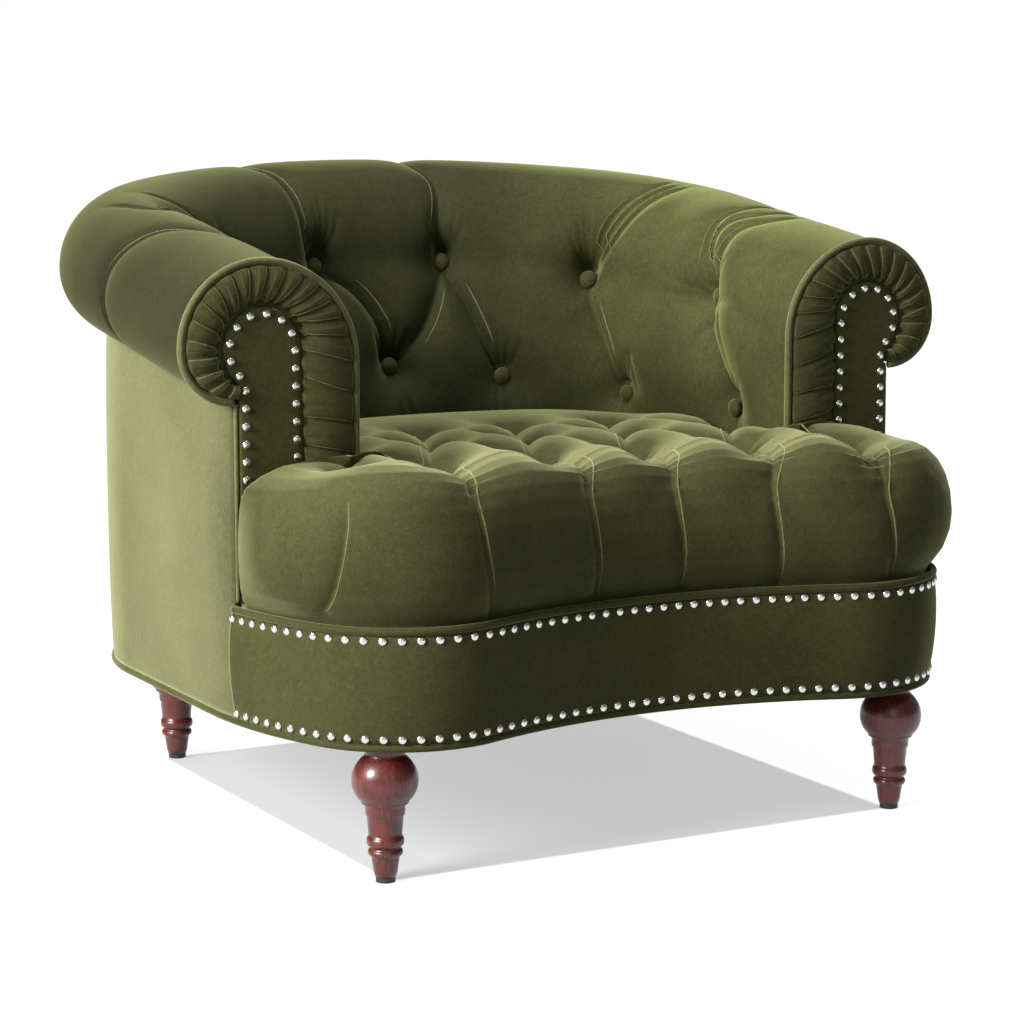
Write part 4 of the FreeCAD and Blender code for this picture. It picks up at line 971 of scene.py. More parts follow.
    def surface(self) -> None:
        """Lay out the smooth pad before it is buttoned."""
        end = ROLL_LINE.half_length(BOARD_FRONT + self.board_gap)
        u = np.linspace(-end, end, self.rows)
        v = np.concatenate([np.linspace(0, 1, 10)[:-1], np.linspace(1, 2, 84)[:-1],
                            np.linspace(2, 3, 60)[:-1], np.linspace(3, 4, 44)[:-1],
                            np.linspace(4, 5, 28), np.array([5.5, 6, 6.5, 7, 7.5, 8, 8.5, 9])])
        line, outward = ROLL_LINE.station(u)
        well = WELL.reach(line, -outward)
        q = np.interp(np.abs(u) / ROLL_HALF, *self.shoulder_reach)
        grid_v = np.broadcast_to(v, (len(u), len(v)))
        ending = np.clip((end - np.abs(u)) / self.easing, 0, 1)
        belly = self.belly * ending * (2 - ending)
        out, level, t = self.section(grid_v, q[:, None], well[:, None], belly[:, None])
        x = line[:, :1] + outward[:, :1] * out
        y = line[:, 1:] + outward[:, 1:] * out
        z = roll_z(y, level)
        shoulder_y = line[:, 1:] - outward[:, 1:] * q[:, None]
        shoulder_z = roll_z(shoulder_y, -INNER_DROP)
        roof_z = roll_z(line[:, 1:] - outward[:, 1:] * self.rail_reach, -self.rail_drop)
        z = np.where(grid_v < 1, DECK_TOP + (self.wall_top - DECK_TOP) * grid_v, z)
        z = np.where((grid_v >= 1) & (grid_v < 2),
                     self.wall_top + (shoulder_z - self.wall_top) * t, z)
        z = np.where((grid_v >= 7) & (grid_v < 8), roof_z + (DECK_TOP - roof_z) * t, z)
        z = np.where(grid_v >= 8, DECK_TOP, z)
        points = np.stack([x, y, z], -1)
        visible = np.flatnonzero(v <= 4.8)[6:]
        for _ in range(self.smoothing):
            points[:, visible] = (points[:, visible - 1] * 0.25 + points[:, visible] * 0.5
                                  + points[:, visible + 1] * 0.25)
        self.patch = Patch(u, v, points)

    def over_pad(self, corners: Line, side: int = 1) -> Array:
        """Path over the pad along corners given as station share and section."""
        flat = rounded(np.array(corners) * np.array([side, 1]))
        return self.patch.at(flat[:, 0] * ROLL_HALF, flat[:, 1])

    def lay_folds(self) -> None:
        """Set the folds between the buttons, over the roll and down to the seat."""
        between, rising = (6, -9), (4, 22)
        for item in self.middle_folds:
            self.folds.append(Fold(self.over_pad(item), self.diamond, 1, between))
        for item in self.side_folds:
            for side in (-1, 1):
                self.folds.append(Fold(self.over_pad(item, side), self.diamond, side, between))
        for item in self.left_roll_folds + self.right_roll_folds:
            side = 1 if item[0][0] > 0 else -1
            self.folds.append(Fold(self.over_pad(item), self.over_roll, side, rising))
        for side in (-1, 1):
            self.folds += [Fold(self.over_pad(item, side), self.soft) for item in self.soft_folds]
            self.folds += [Fold(self.over_pad(item, side), self.foot) for item in self.foot_folds]
            for row, fan in ((self.upper, self.upper_fan), (self.lower, self.lower_fan)):
                for share, v in row:
                    self.fan((side * share, v), *fan)
        self.folds += [Fold(self.over_pad(item), self.middle_foot) for item in self.middle_feet]

    def fan(self, place: tuple[float, float], count: int, rise: float) -> None:
        """Short folds that run up from a button, leaning apart.

        Args:
            place: Station share and section of the button.
            count: Number of folds.
            rise: Longest run up the section.
        """
        share, v = place
        for index in range(count):
            lean = (index / (count - 1) - 0.5) * self.fan_spread
            length = rise * (1 - 0.2 * abs(index - (count - 1) / 2))
            low = v + self.fan_start
            path = self.over_pad(((share + lean * 0.34, low),
                                  (share + lean * 0.7, low + length * 0.5),
                                  (share + lean, low + length * 1.2)))
            self.folds.append(Fold(path, self.ray))

    def build(self) -> None:
        """Build the pad, its buttons and the edges of its folds."""
        self.surface()
        mesh = grid_mesh("back_pad", np.concatenate([self.patch.points,
                                                     self.patch.points[:, :1]], axis=1),
                         wrap=True, caps=True)
        self.skin = Skin(mesh)
        self.lay_folds()
        places = [self.patch.at(np.array([side * share * ROLL_HALF]), np.array([v]))[0]
                  for share, v in self.upper + self.lower for side in (-1, 1)]
        hollows = [Hollow(place, *self.hollow) for place in places]
        self.skin.press(self.folds, hollows)
        # The pad takes the darker copy of the velvet: painted shade, with painted light on its
        # right.
        self.hand_in("velvet_back_pad", mesh, Slot.VELVET, "back_and_arm_pad",
                     finish=self.finishes.rolled, padded=0.85)
        # The fold cords take the pale velvet: painted highlight along the folds' edges.
        self.hand_in("back_fold_edges", self.skin.cords("back_fold_edges", self.folds),
                     Slot.VELVET, finish=self.finishes.pale_highlight)
        self.build_buttons()

    def build_buttons(self) -> None:
        """Covered buttons, sunk in their hollows and facing as the pad does."""
        inner_lift, front_lift = self.button_lift
        for name, row, lean in (("upper_buttons", self.upper, self.button_lean),
                                ("lower_buttons", self.lower, 0.0)):
            heads = []
            for share, v in row:
                for side in (-1, 1) if share else (1,):
                    base = self.patch.at(np.array([side * share * ROLL_HALF]), np.array([v]))[0]
                    _, outward = ROLL_LINE.station(np.array([side * share * ROLL_HALF]))
                    axis = Vector((-outward[0, 0], -outward[0, 1], lean))
                    floor, _, _, _ = self.skin.tree.ray_cast(Vector(base) + axis * 0.08, -axis)
                    lift = front_lift if share > 0.7 else inner_lift
                    heads.append(button_head(floor + axis * lift, axis))
            self.hand_in(f"velvet_{name}", joined(name, heads), Slot.VELVET, name)


def button_head(place: Vector, axis: Vector, radius: float = 0.0115, rise: float = 0.0068) -> Mesh:
    """Covered button: a flattened ball with a pinched rim.

    Args:
        place: Middle of its back.
        axis: Direction that it faces.
        radius: Radius.
        rise: Height.

    Returns:
        A closed mesh.
    """
    ball = bmesh.new()
    bmesh.ops.create_uvsphere(ball, u_segments=28, v_segments=16, radius=1)
    for vert in ball.verts:
        low = vert.co.z < 0
        vert.co.z = vert.co.z * (rise * 0.5 if low else rise)
        vert.co.x *= radius
        vert.co.y *= radius
    turn = axis.to_track_quat("Z", "Y").to_matrix().to_4x4()
    bmesh.ops.transform(ball, matrix=Matrix.Translation(place) @ turn, verts=ball.verts)
    return meshed("head", ball)


def nail_heads(name: str, places: Array, facings: Array) -> Mesh:
    """Domed nail heads along a row.

    Args:
        name: Name of the mesh.
        places: Middles of the undersides.
        facings: Directions that they face.

    Returns:
        One mesh of closed heads.
    """
    row = bmesh.new()
    for place, facing in zip(places, facings):
        made = bmesh.ops.create_uvsphere(row, u_segments=14, v_segments=10, radius=1)
        squash = Matrix.Diagonal((NAIL_RADIUS, NAIL_RADIUS, NAIL_RISE, 1))
        turn = Vector(facing).to_track_quat("Z", "Y").to_matrix().to_4x4()
        bmesh.ops.transform(row, matrix=Matrix.Translation(Vector(place)) @ turn @ squash,
                            verts=made["verts"])
    return meshed(name, row)


@dataclass
class ArmFronts(Chair):
    """Ruched borders, keyhole panels, welts and nails of both arm fronts."""

    centre_x: float = 0.417
    head_z: float = 0.588
    head_radius: float = 0.0475
    inner_foot_x: float = 0.366
    neck_x: float = 0.445
    foot_z: float = 0.298
    inner_reach: float = 0.117
    outer_x: float = 0.4515
    rail_top: float = 0.2843
    board_margin: float = 0.010
    board_depth: float = 0.020
    border_margin: float = 0.0032
    border_overlap: float = 0.0004
    border_rise: float = 0.0085
    border_levels: tuple[float, float, float] = (-0.2425, -0.2365, -0.2363)
    border_rows: tuple[int, int] = (150, 330)
    border_columns: tuple[int, int] = (40, 6)
    side_gathers: tuple[float, float, int] = (0.03, 0.31, 8)
    head_gathers: tuple[float, float, int] = (0.362, 0.978, 17)
    panel_rise: float = 0.0054
    nail_margin: float = 0.007
    nail_low: float = 0.400
    nail_sink: float = 0.0016
    neck_margin: float = 0.002
    fit_gap: float = 0.0003
    welt_margin: float = -0.0008
    welt_y: float = -0.2405
    gather: Crease = Crease((0.0016, 0.0050), 0.0034, 0.0020, 0.0060, cord=(0.0006, 0.0006))
    wrinkle: Crease = Crease((0.0, 0.0030), 0.0024, fine=True)

    def outline(self, margin: float) -> tuple[Array, Array]:
        """Scroll outline moved inward: the inner side, and the arc to the nape.

        Args:
            margin: Distance inward.

        Returns:
            Points of the straight inner side and of the arc, each as x and z.
        """
        radius = ROLL_RADIUS - margin
        reach = self.inner_reach - margin
        drop, centre_z = INNER_DROP, ROLL_FRONT_Z
        out = self.outer_x - margin - self.centre_x
        side = np.stack([np.full(40, self.centre_x - reach),
                         np.linspace(self.foot_z, centre_z - drop, 40)], -1)
        inner = np.linspace(0, math.pi / 2, 60)
        outer = np.linspace(math.pi / 2, 0, 70)
        under = np.linspace(0, math.pi / 2, 50)
        arc_in = np.stack([self.centre_x - reach * np.cos(inner),
                           centre_z - drop + (radius + drop) * np.sin(inner)], -1)
        arc_out = np.stack([self.centre_x + radius * np.cos(outer),
                            centre_z + radius * np.sin(outer)], -1)
        tuck = np.stack([self.centre_x + out + (radius - out) * np.cos(under),
                         centre_z - (LIP_DROP - margin) * np.sin(under)], -1)
        return side, np.concatenate([arc_in, arc_out[1:], tuck[1:]])

    def keyhole(self, margin: float) -> tuple[Array, Array]:
        """Keyhole outline moved inward: the inner side, and the head to the neck."""
        radius = self.head_radius - margin
        neck = math.acos((self.neck_x - margin - self.centre_x) / radius)
        side = np.stack([np.linspace(self.inner_foot_x + margin, self.centre_x - radius, 40),
                         np.linspace(self.foot_z, self.head_z, 40)], -1)
        angle = np.linspace(math.pi, -neck, 120)
        head = np.stack([self.centre_x + radius * np.cos(angle),
                         self.head_z + radius * np.sin(angle)], -1)
        return side, head

    def border_patch(self) -> Patch:
        """Lay out the right border: from the foot round to the nape, outside to inside."""
        face, edge, back = self.border_levels
        shown_count, hidden_count = self.border_columns
        outer, inner = (
            np.concatenate([resampled(side, self.border_rows[0]),
                            resampled(head, self.border_rows[1])[1:]])
            for side, head in (self.outline(self.border_margin),
                               self.keyhole(-self.border_overlap)))
        across = np.concatenate([np.linspace(0, 1, shown_count),
                                 np.linspace(1, 0, hidden_count)])
        share = across[None, :, None]
        flat = outer[:, None, :] * (1 - share) + inner[:, None, :] * share
        swell = np.sin(np.pi * across[:shown_count]) ** 0.5
        front = face - self.border_rise * swell
        front[0] = front[-1] = edge
        depth = np.concatenate([front, np.full(hidden_count, back)])
        y = np.broadcast_to(depth, flat.shape[:2])
        points = np.stack([flat[..., 0], y, flat[..., 1]], -1)
        return Patch(np.linspace(0, 1, len(outer)), np.linspace(0, 1, len(across)), points)

    def build_border(self, side: int, label: str) -> None:
        """Build one ruched border with its gathers."""
        patch = self.border_patch()
        points = patch.points * np.array([side, 1, 1])
        mesh = grid_mesh("border", points, wrap=True, caps=True)
        skin = Skin(mesh)
        count = self.border_columns[0]
        shown = Patch(patch.u, np.linspace(0, 1, count), points[:, :count])
        folds = []
        steps = [*np.linspace(*self.side_gathers), *np.linspace(*self.head_gathers)]
        rng = np.random.default_rng(7)
        for index, u in enumerate(steps):
            shift = 0.006 * math.sin(index * 2.3)
            ends = np.stack([np.full(24, u) + shift * np.linspace(0, 1, 24) ** 2,
                             np.linspace(0.02, 0.98, 24)], -1)
            folds.append(Fold(shown.at(ends[:, 0], ends[:, 1]), self.gather, side))
            on_side = index < self.side_gathers[2]
            for extra in (-0.010, 0.011) if on_side else (-0.010, -0.005, 0.005, 0.010):
                reach_in = 0.30 + 0.5 * rng.random()
                ends = np.stack([np.linspace(u + extra * 1.5, u + extra, 12),
                                 np.linspace(reach_in, 0.98, 12)], -1)
                folds.append(Fold(shown.at(ends[:, 0], ends[:, 1]), self.wrinkle))
        skin.press(folds, [])
        self.hand_in(f"{label}_velvet_border", mesh, Slot.VELVET, f"{label}_ruched_border",
                     padded=0.7)
        # The fold cords take the pale velvet: painted highlight along the folds' edges.
        self.hand_in(f"{label}_border_fold_edges",
                     skin.cords("border_fold_edges", folds), Slot.VELVET,
                     finish=self.finishes.pale_highlight)

    def build_board(self, side: int, label: str) -> None:
        """Build the scroll-shaped board behind one arm front."""
        _, arc = self.outline(self.board_margin)
        rim = np.concatenate([[[arc[0, 0], self.rail_top]], arc,
                              [[self.neck_x - self.neck_margin, self.rail_top]]])
        shape, _ = slab(rim, side, BOARD_FRONT, self.board_depth)
        bmesh.ops.recalc_face_normals(shape, faces=shape.faces)
        mesh = meshed("board", shape)
        self.hand_in(f"{label}_scroll_board", mesh, Slot.FRAME, f"{label}_arm_board")

    def build_panel(self, side: int, label: str) -> None:
        """Build one keyhole panel with a soft edge."""
        gap = self.fit_gap
        inner, head = self.keyhole(gap)
        rim = np.concatenate([inner, head[1:], [[self.neck_x - gap, self.foot_z]]])
        shape, face = slab(resampled(rim, 120), side, BOARD_FRONT - gap, -self.panel_rise)
        for width, lift in ((0.0016, -0.0009), (0.004, -0.0005), (0.010, 0.0002)):
            bmesh.ops.inset_region(shape, faces=[face], thickness=width, depth=0)
            bmesh.ops.translate(shape, vec=(0, lift, 0), verts=face.verts)
        bmesh.ops.triangulate(shape, faces=[face])
        bmesh.ops.recalc_face_normals(shape, faces=shape.faces)
        self.hand_in(f"{label}_velvet_panel", meshed("panel", shape), Slot.VELVET,
                     f"{label}_keyhole_panel", padded=0.9)

    def build(self) -> None:
        """Build both arm fronts."""
        for side, label in ((-1, "left"), (1, "right")):
            self.build_border(side, label)
            self.build_panel(side, label)
            self.build_board(side, label)
            line, arc = self.outline(self.welt_margin)
            path = resampled(np.concatenate([line, arc[1:]]), 230)
            path = np.stack([side * path[:, 0], np.full(len(path), self.welt_y), path[:, 1]], -1)
            # The welt takes the paler copy of the velvet: painted light.
            self.hand_in(f"{label}_velvet_arm_welt", tube("welt", path, CORD_RADIUS),
                         Slot.VELVET, f"{label}_arm_welt", finish=self.finishes.painted_pale)
            self.build_nails(side, label)

    def build_nails(self, side: int, label: str) -> None:
        """Nails along the edge of one keyhole panel."""
        inner, head = self.keyhole(self.nail_margin)
        inner = inner[inner[:, 1] >= self.nail_low]
        path = np.concatenate([inner, head[1:],
                               [[self.neck_x - self.nail_margin, self.nail_low]]])
        steps = np.linalg.norm(np.diff(path, axis=0), axis=1).sum()
        row = resampled(path, int(steps / NAIL_PITCH) + 1)
        places = np.stack([side * row[:, 0], np.full(len(row), ARM_FRONT - self.nail_sink),
                           row[:, 1]], -1)
        facings = np.tile((0.0, -1.0, 0.0), (len(row), 1))
        self.hand_in(f"{label}_arm_nail_heads", nail_heads("arm_nails", places, facings),
                     Slot.NAILS, f"{label}_arm_nails")


@dataclass
class Outside(Chair):
    """Apron, outside cover, welts and apron nails."""

    thickness: float = 0.005
    cover_swell: float = 0.003
    cover_wave: float = 0.0012
    cover_columns: int = 420
    seam_place: tuple[float, float] = (0.4485, -0.2382)
    seam_radius: float = 0.0024
    seam_spans: Line = ((0.165, 0.289), (0.30, 0.527))
    base_line: Horseshoe = Horseshoe(0.455, 0.426, 0.279)
    base_inset: float = 0.001
    seat_inset: float = -0.0045
    seat_cord: float = 0.0045
    fit_gap: float = 0.0003
    nail_rows: tuple[tuple[str, float], ...] = (
        ("upper_apron_nails", SEAT_WELT_Z - 0.010), ("lower_apron_nails", BASE_WELT_Z + 0.011))

    def build(self) -> None:
        """Build the band, the cover, the cords and the nails."""
        self.build_apron()
        self.build_cover()
        self.build_welts()
        self.build_nails()

    @staticmethod
    def band_swell(z: Array) -> Array:
        """Swell of the apron over its rail at a height: round, and leaning out to the top."""
        rise = np.clip((z - BAND_LOW) / (BAND_TOP - BAND_LOW), 0, 1)
        return 0.0068 * np.sin(np.pi * rise) ** 0.6 + 0.0045 * rise

    def build_apron(self) -> None:
        """Padded band under the seat welt."""
        outer, inner = Serpentine(), Serpentine(self.thickness)
        half = sum(outer.spans(BOARD_FRONT))
        run = np.linspace(-half, half, 260)
        line, outward = outer.place(run, BOARD_FRONT)
        inside, _ = inner.place(run / half * sum(inner.spans(BOARD_FRONT)), BOARD_FRONT)
        rise = np.linspace(0, 1, 22)
        z = BAND_LOW + (BAND_TOP - BAND_LOW) * rise
        swell = self.band_swell(z)
        front = np.concatenate([line[:, None, :] + outward[:, None, :] * swell[None, :, None],
                                np.broadcast_to(z[None, :, None], (260, 22, 1))], -1)
        back = np.concatenate([np.repeat(inside[:, None, :], 4, axis=1),
                               np.broadcast_to(np.linspace(z[-1], z[0], 4)[None, :, None],
                                               (260, 4, 1))], -1)
        ring = np.concatenate([front, back, front[:, :1]], axis=1)
        mesh = grid_mesh("apron", ring, wrap=True, caps=True)
        self.hand_in("velvet_apron", mesh, Slot.VELVET, "apron", padded=0.6)

    def build_cover(self) -> None:
        """Velvet round the sides and the back, up to the underside of the roll."""
        end = BASE.half_length(BOARD_FRONT + 0.0005)
        run = np.linspace(-end, end, self.cover_columns)
        line, outward = BASE.station(run)
        front = line[:, 1] < SHOULDER_Y
        away = np.clip(SHOULDER_RADIUS ** 2 - (line[:, 1] - SHOULDER_Y) ** 2, 0, None)
        shoulder = np.sqrt(away) - (SHOULDER_RADIUS - BASE.half_width)
        line[:, 0] = np.where(front, np.sign(line[:, 0]) * shoulder, line[:, 0])
        rise = np.linspace(0, 1, 60)
        top = roll_z(line[:, 1], -LIP_DROP - self.fit_gap)
        z = BAND_LOW + (top[:, None] - BAND_LOW) * rise[None, :]
        swell = self.cover_swell * np.sin(np.pi * rise) ** 0.6
        wave = self.cover_wave * np.sin(run[:, None] * 23 + 2.1 * np.sin(rise[None, :] * 3.2))
        out = swell[None, :] + wave * np.sin(np.pi * rise)[None, :]
        outer = np.concatenate([line[:, None, :] + outward[:, None, :] * out[..., None],
                                z[..., None]], -1)
        low = np.full(self.cover_columns, BAND_LOW)
        inner = np.stack([np.concatenate([line - outward * self.thickness, level[:, None]], -1)
                          for level in np.linspace(top, low, 5)], axis=1)
        ring = np.concatenate([outer, inner, outer[:, :1]], axis=1)
        mesh = grid_mesh("cover", ring, wrap=True, caps=True)
        # The cover takes the paler copy of the velvet: painted light.
        self.hand_in("velvet_outside_cover", mesh, Slot.VELVET, "outside_cover",
                     finish=self.finishes.painted_pale, padded=0.5)

    def build_welts(self) -> None:
        """Piped cords round the base, over the apron and down the front seams."""
        front = Serpentine(self.base_inset)
        half = sum(front.spans(SHOULDER_Y))
        line, _ = front.place(np.linspace(-half, half, 320), SHOULDER_Y)
        reach = self.base_line.half_length(SHOULDER_Y)
        behind, _ = self.base_line.station(np.linspace(reach, -reach, 380))
        loop = np.concatenate([line, behind[1:-1]])
        loop = np.concatenate([loop, np.full((len(loop), 1), BASE_WELT_Z)], -1)
        self.hand_in("velvet_base_welt", self.ring(loop, CORD_RADIUS), Slot.VELVET, "base_welt")
        edge = Serpentine(self.seat_inset)
        half = sum(edge.spans(ARM_FRONT))
        line, _ = edge.place(np.linspace(-half, half, 420), ARM_FRONT)
        path = np.concatenate([line, np.full((420, 1), SEAT_WELT_Z)], -1)
        self.hand_in("velvet_seat_welt", tube("seat_welt", path, self.seat_cord), Slot.VELVET,
                     "seat_welt")
        seams = []
        for side in (-1, 1):
            for low, high in self.seam_spans:
                rise = np.linspace(low, high, 60)
                x, y = side * self.seam_place[0], self.seam_place[1]
                path = np.stack([np.full(60, x), np.full(60, y), rise], -1)
                seams.append(tube("seam", path, self.seam_radius, 10))
        # The seam cords take the pale velvet: painted highlight.
        self.hand_in("front_seam_cords", joined("front_seam_cords", seams), Slot.VELVET,
                     finish=self.finishes.pale_highlight)

    @staticmethod
    def ring(loop: Array, radius: float, sides: int = 12) -> Mesh:
        """Round section swept round a closed level loop."""
        ahead, behind = np.roll(loop, -1, axis=0), np.roll(loop, 1, axis=0)
        tangent = ahead - behind
        tangent /= np.linalg.norm(tangent, axis=1)[:, None]
        across = np.cross(tangent, (0, 0, 1))
        angle = np.linspace(0, 2 * math.pi, sides + 1)
        angle[-1] = 0
        rings = (loop[:, None, :] + radius * (across[:, None, :] * np.cos(angle)[None, :, None]
                                              + np.array([0, 0, 1]) * np.sin(angle)[None, :, None]))
        return grid_mesh("welt", np.concatenate([rings, rings[:1]]), wrap=True)

    def build_nails(self) -> None:
        """Nail rows under the seat welt and over the base welt."""
        front = Serpentine()
        half = sum(front.spans(ARM_FRONT))
        count = int(2 * half / NAIL_PITCH)
        line, outward = front.place(np.linspace(-half, half, count + 1), ARM_FRONT)
        facings = np.concatenate([outward, np.zeros((count + 1, 1))], -1)
        for name, z in self.nail_rows:
            out = float(self.band_swell(z)) + self.fit_gap
            places = np.concatenate([line + outward * out, np.full((count + 1, 1), z)], -1)
            self.hand_in(f"{name}_heads", nail_heads(name, places, facings), Slot.NAILS, name)


@dataclass
class Seat(Chair):
    """Crowned seat with a serpentine bulge, front pleats and stitched tufts."""

    crest_z: float = 0.483
    crest_y: float = -0.41
    fall: float = 0.060
    voxel: float = 0.0031
    swell: float = 0.020
    ear_y: float = -0.2515
    ear_ease: float = 0.12
    ear_drop: float = 0.020
    cast_z: float = 0.6
    pleat_centre_z: float = 0.345
    pleat_turn: float = math.radians(112)
    flare: float = 0.40
    well: tuple[float, float, float] = (0.290, 0.227, 0.182)
    wrinkle_count: int = 11
    wrinkle_length: float = 0.055
    opening_run: tuple[float, float] = (0.050, 0.130)
    diagonal: Crease = Crease((0.024, 0.024), 0.024, 0.0022, cord=(0.0010, 0.0009))
    valley: Crease = Crease((0.046, 0.0200), 0.042)
    opening: Crease = Crease((0.052, 0.030), 0.044)
    pleat: Crease = Crease((0.018, 0.0050), 0.014, 0.0030, cord=(0.0010, 0.0010))
    dart_crease: Crease = Crease((0.003, 0.0060), 0.014, 0.0028, 0.009, cord=(0.0008, 0.0009))
    wrinkle: Crease = Crease((0.0062, 0.0), 0.0042, fine=True)
    hollow: tuple[float, float] = (0.040, 0.042)
    levels: tuple[tuple[float, float, float], ...] = (
        (0.0, 0.30, 0.0), (0.065, 0.15, 0.0), (0.12, -0.25, 0.0), (0.20, -0.70, 0.0),
        (0.32, -1.02, 0.0), (0.44, -1.12, 0.0), (0.58, -1.04, 0.0), (0.70, -0.82, 0.0),
        (0.80, -0.44, 0.05), (0.88, 0.14, 0.12), (0.94, 1.05, 0.3), (0.98, 2.3, 0.7),
        (0.996, 3.8, 1.3))
    front_row: Line = (
        (-0.335, -0.305), (-0.212, -0.263), (-0.063, -0.247), (0.066, -0.247),
        (0.200, -0.273), (0.325, -0.340))
    middle_row: Line = (
        (-0.270, -0.130), (-0.135, -0.112), (0.0, -0.105), (0.135, -0.115), (0.270, -0.150))
    rear_row: Line = (
        (-0.200, 0.045), (-0.067, 0.050), (0.067, 0.050), (0.200, 0.045))
    pleats: tuple[tuple[float, ...], ...] = (
        (-0.212, -0.222, -0.233, -0.244, -0.253, -0.260, -0.252, -0.238, -0.230),
        (-0.063, -0.060, -0.060, -0.068, -0.082, -0.092, -0.086, -0.080, -0.078),
        (0.066, 0.070, 0.064, 0.050, 0.030, 0.024, 0.030, 0.035, 0.039),
        (0.200, 0.208, 0.200, 0.180, 0.157, 0.146, 0.151, 0.159, 0.167),
        (0.325, 0.322, 0.315, 0.303, 0.291, 0.286, 0.291, 0.297, 0.303))
    dart: tuple[float, ...] = (
        -0.390, -0.392, -0.394, -0.397, -0.400, -0.407, -0.413, -0.415, -0.416)

    def outline(self, over: float, stem: float) -> Array:
        """Plan outline of the seat at one level.

        Args:
            over: Distance inward of the front.
            stem: Distance inward of the part between the arms.

        Returns:
            Closed outline points as x and y, from the left ear round the front.
        """
        front = Serpentine(max(over, 0.0))
        half = sum(front.spans(self.ear_y))
        run = np.linspace(-half, half, 240)
        line, outward = front.place(run, self.ear_y)
        ending = np.clip((half - np.abs(run)) / self.ear_ease, 0, 1)
        aside = 1 + self.flare * np.clip((np.abs(line[:, 0]) - 0.36) / 0.08, 0, 1)
        line += outward * (max(-over, 0.0) * aside * (0.15 + 0.85 * ending * (2 - ending)))[:, None]
        well = Horseshoe(*(size - stem for size in self.well))
        reach = well.half_length(self.ear_y)
        rear, _ = well.station(np.linspace(reach, -reach, 240))
        right = line[-1] + (rear[0] - line[-1]) * np.linspace(0, 1, 16)[1:-1, None]
        left = rear[-1] + (line[0] - rear[-1]) * np.linspace(0, 1, 16)[1:-1, None]
        return np.concatenate([line, right, rear, left])

    def lower(self, flat: Array, rise: float) -> Array:
        """Drop of the surface towards the ears and the back, in full at the crest."""
        ears = self.ear_drop * np.clip((np.abs(flat[:, 0]) - 0.28) / 0.16, 0, 1) ** 2
        return rise * (ears + self.fall * (flat[:, 1] - self.crest_y))

    def form(self) -> Mesh:
        """Closed seat before it is stitched."""
        rings = []
        for rise, over, stem in self.levels:
            z = DECK_TOP + rise * (self.crest_z - DECK_TOP)
            flat = self.outline(over * self.swell, stem * self.swell)
            rings.append(np.concatenate([flat, (z - self.lower(flat, rise))[:, None]], -1))
        middle = np.array([0.0, -0.30])
        last = rings[-1]
        for share in np.linspace(0.06, 0.98, 18):
            flat = last[:, :2] + (middle - last[:, :2]) * share
            z = self.crest_z + 0.0010 - self.lower(flat, 1.0)
            rings.append(np.stack([flat[:, 0], flat[:, 1], z], -1))
        ring = np.stack(rings, axis=0)
        ring = np.concatenate([ring, ring[:, :1]], axis=1)
        mesh = grid_mesh("seat", ring, wrap=True, caps=True)
        return remeshed(mesh, self.voxel)

    def over_top(self, skin: Skin, start: tuple[float, float], end: tuple[float, float],
                 bow: float) -> Array:
        """Path over the top of the seat between two places in plan."""
        path = []
        for x, y in bowed(start, end, bow):
            hit, _, _, _ = skin.tree.ray_cast(Vector((x, y, self.cast_z)), Vector((0, 0, -1)))
            path.append(np.array(hit if hit else (x, y, self.crest_z)))
        return np.array(path)

    def front_pleat(self, skin: Skin, top_y: float, aside: tuple[float, ...]) -> Array:
        """Path from a front tuft over the bulge to the welt.

        Args:
            skin: The seat's surface.
            top_y: Depth of the tuft.
            aside: Sideways places at even turns, from straight up to the pleat's foot.

        Returns:
            Points on the surface.
        """
        turns = np.linspace(0, 1, len(aside))
        path = []
        for turn, x in rounded(np.stack([turns, aside], -1), 44):
            angle = turn * self.pleat_turn
            base = Vector((x, top_y, self.pleat_centre_z))
            aim = Vector((0, -math.sin(angle), math.cos(angle)))
            hit, _, _, _ = skin.tree.ray_cast(base + aim * 0.5, -aim)
            if hit and hit.z > SEAT_WELT_Z:
                path.append(np.array(hit))
        return np.array(path)

    def wrinkles(self, skin: Skin, place: tuple[float, float]) -> list[Fold]:
        """Short creases that run out from a tuft, uneven in turn and length."""
        x, y = place
        count, length = self.wrinkle_count, self.wrinkle_length
        result = []
        for index in range(count):
            turn = 2 * math.pi * (index + 0.35 * math.sin(index * 5.1 + x * 40)) / count
            far = length * (0.75 + 0.25 * math.sin(index * 3.7 + y * 60))
            near = (x + 0.006 * math.cos(turn), y + 0.006 * math.sin(turn))
            away = (x + far * math.cos(turn), y + far * math.sin(turn))
            result.append(Fold(self.over_top(skin, near, away, 0.08), self.wrinkle))
        return result

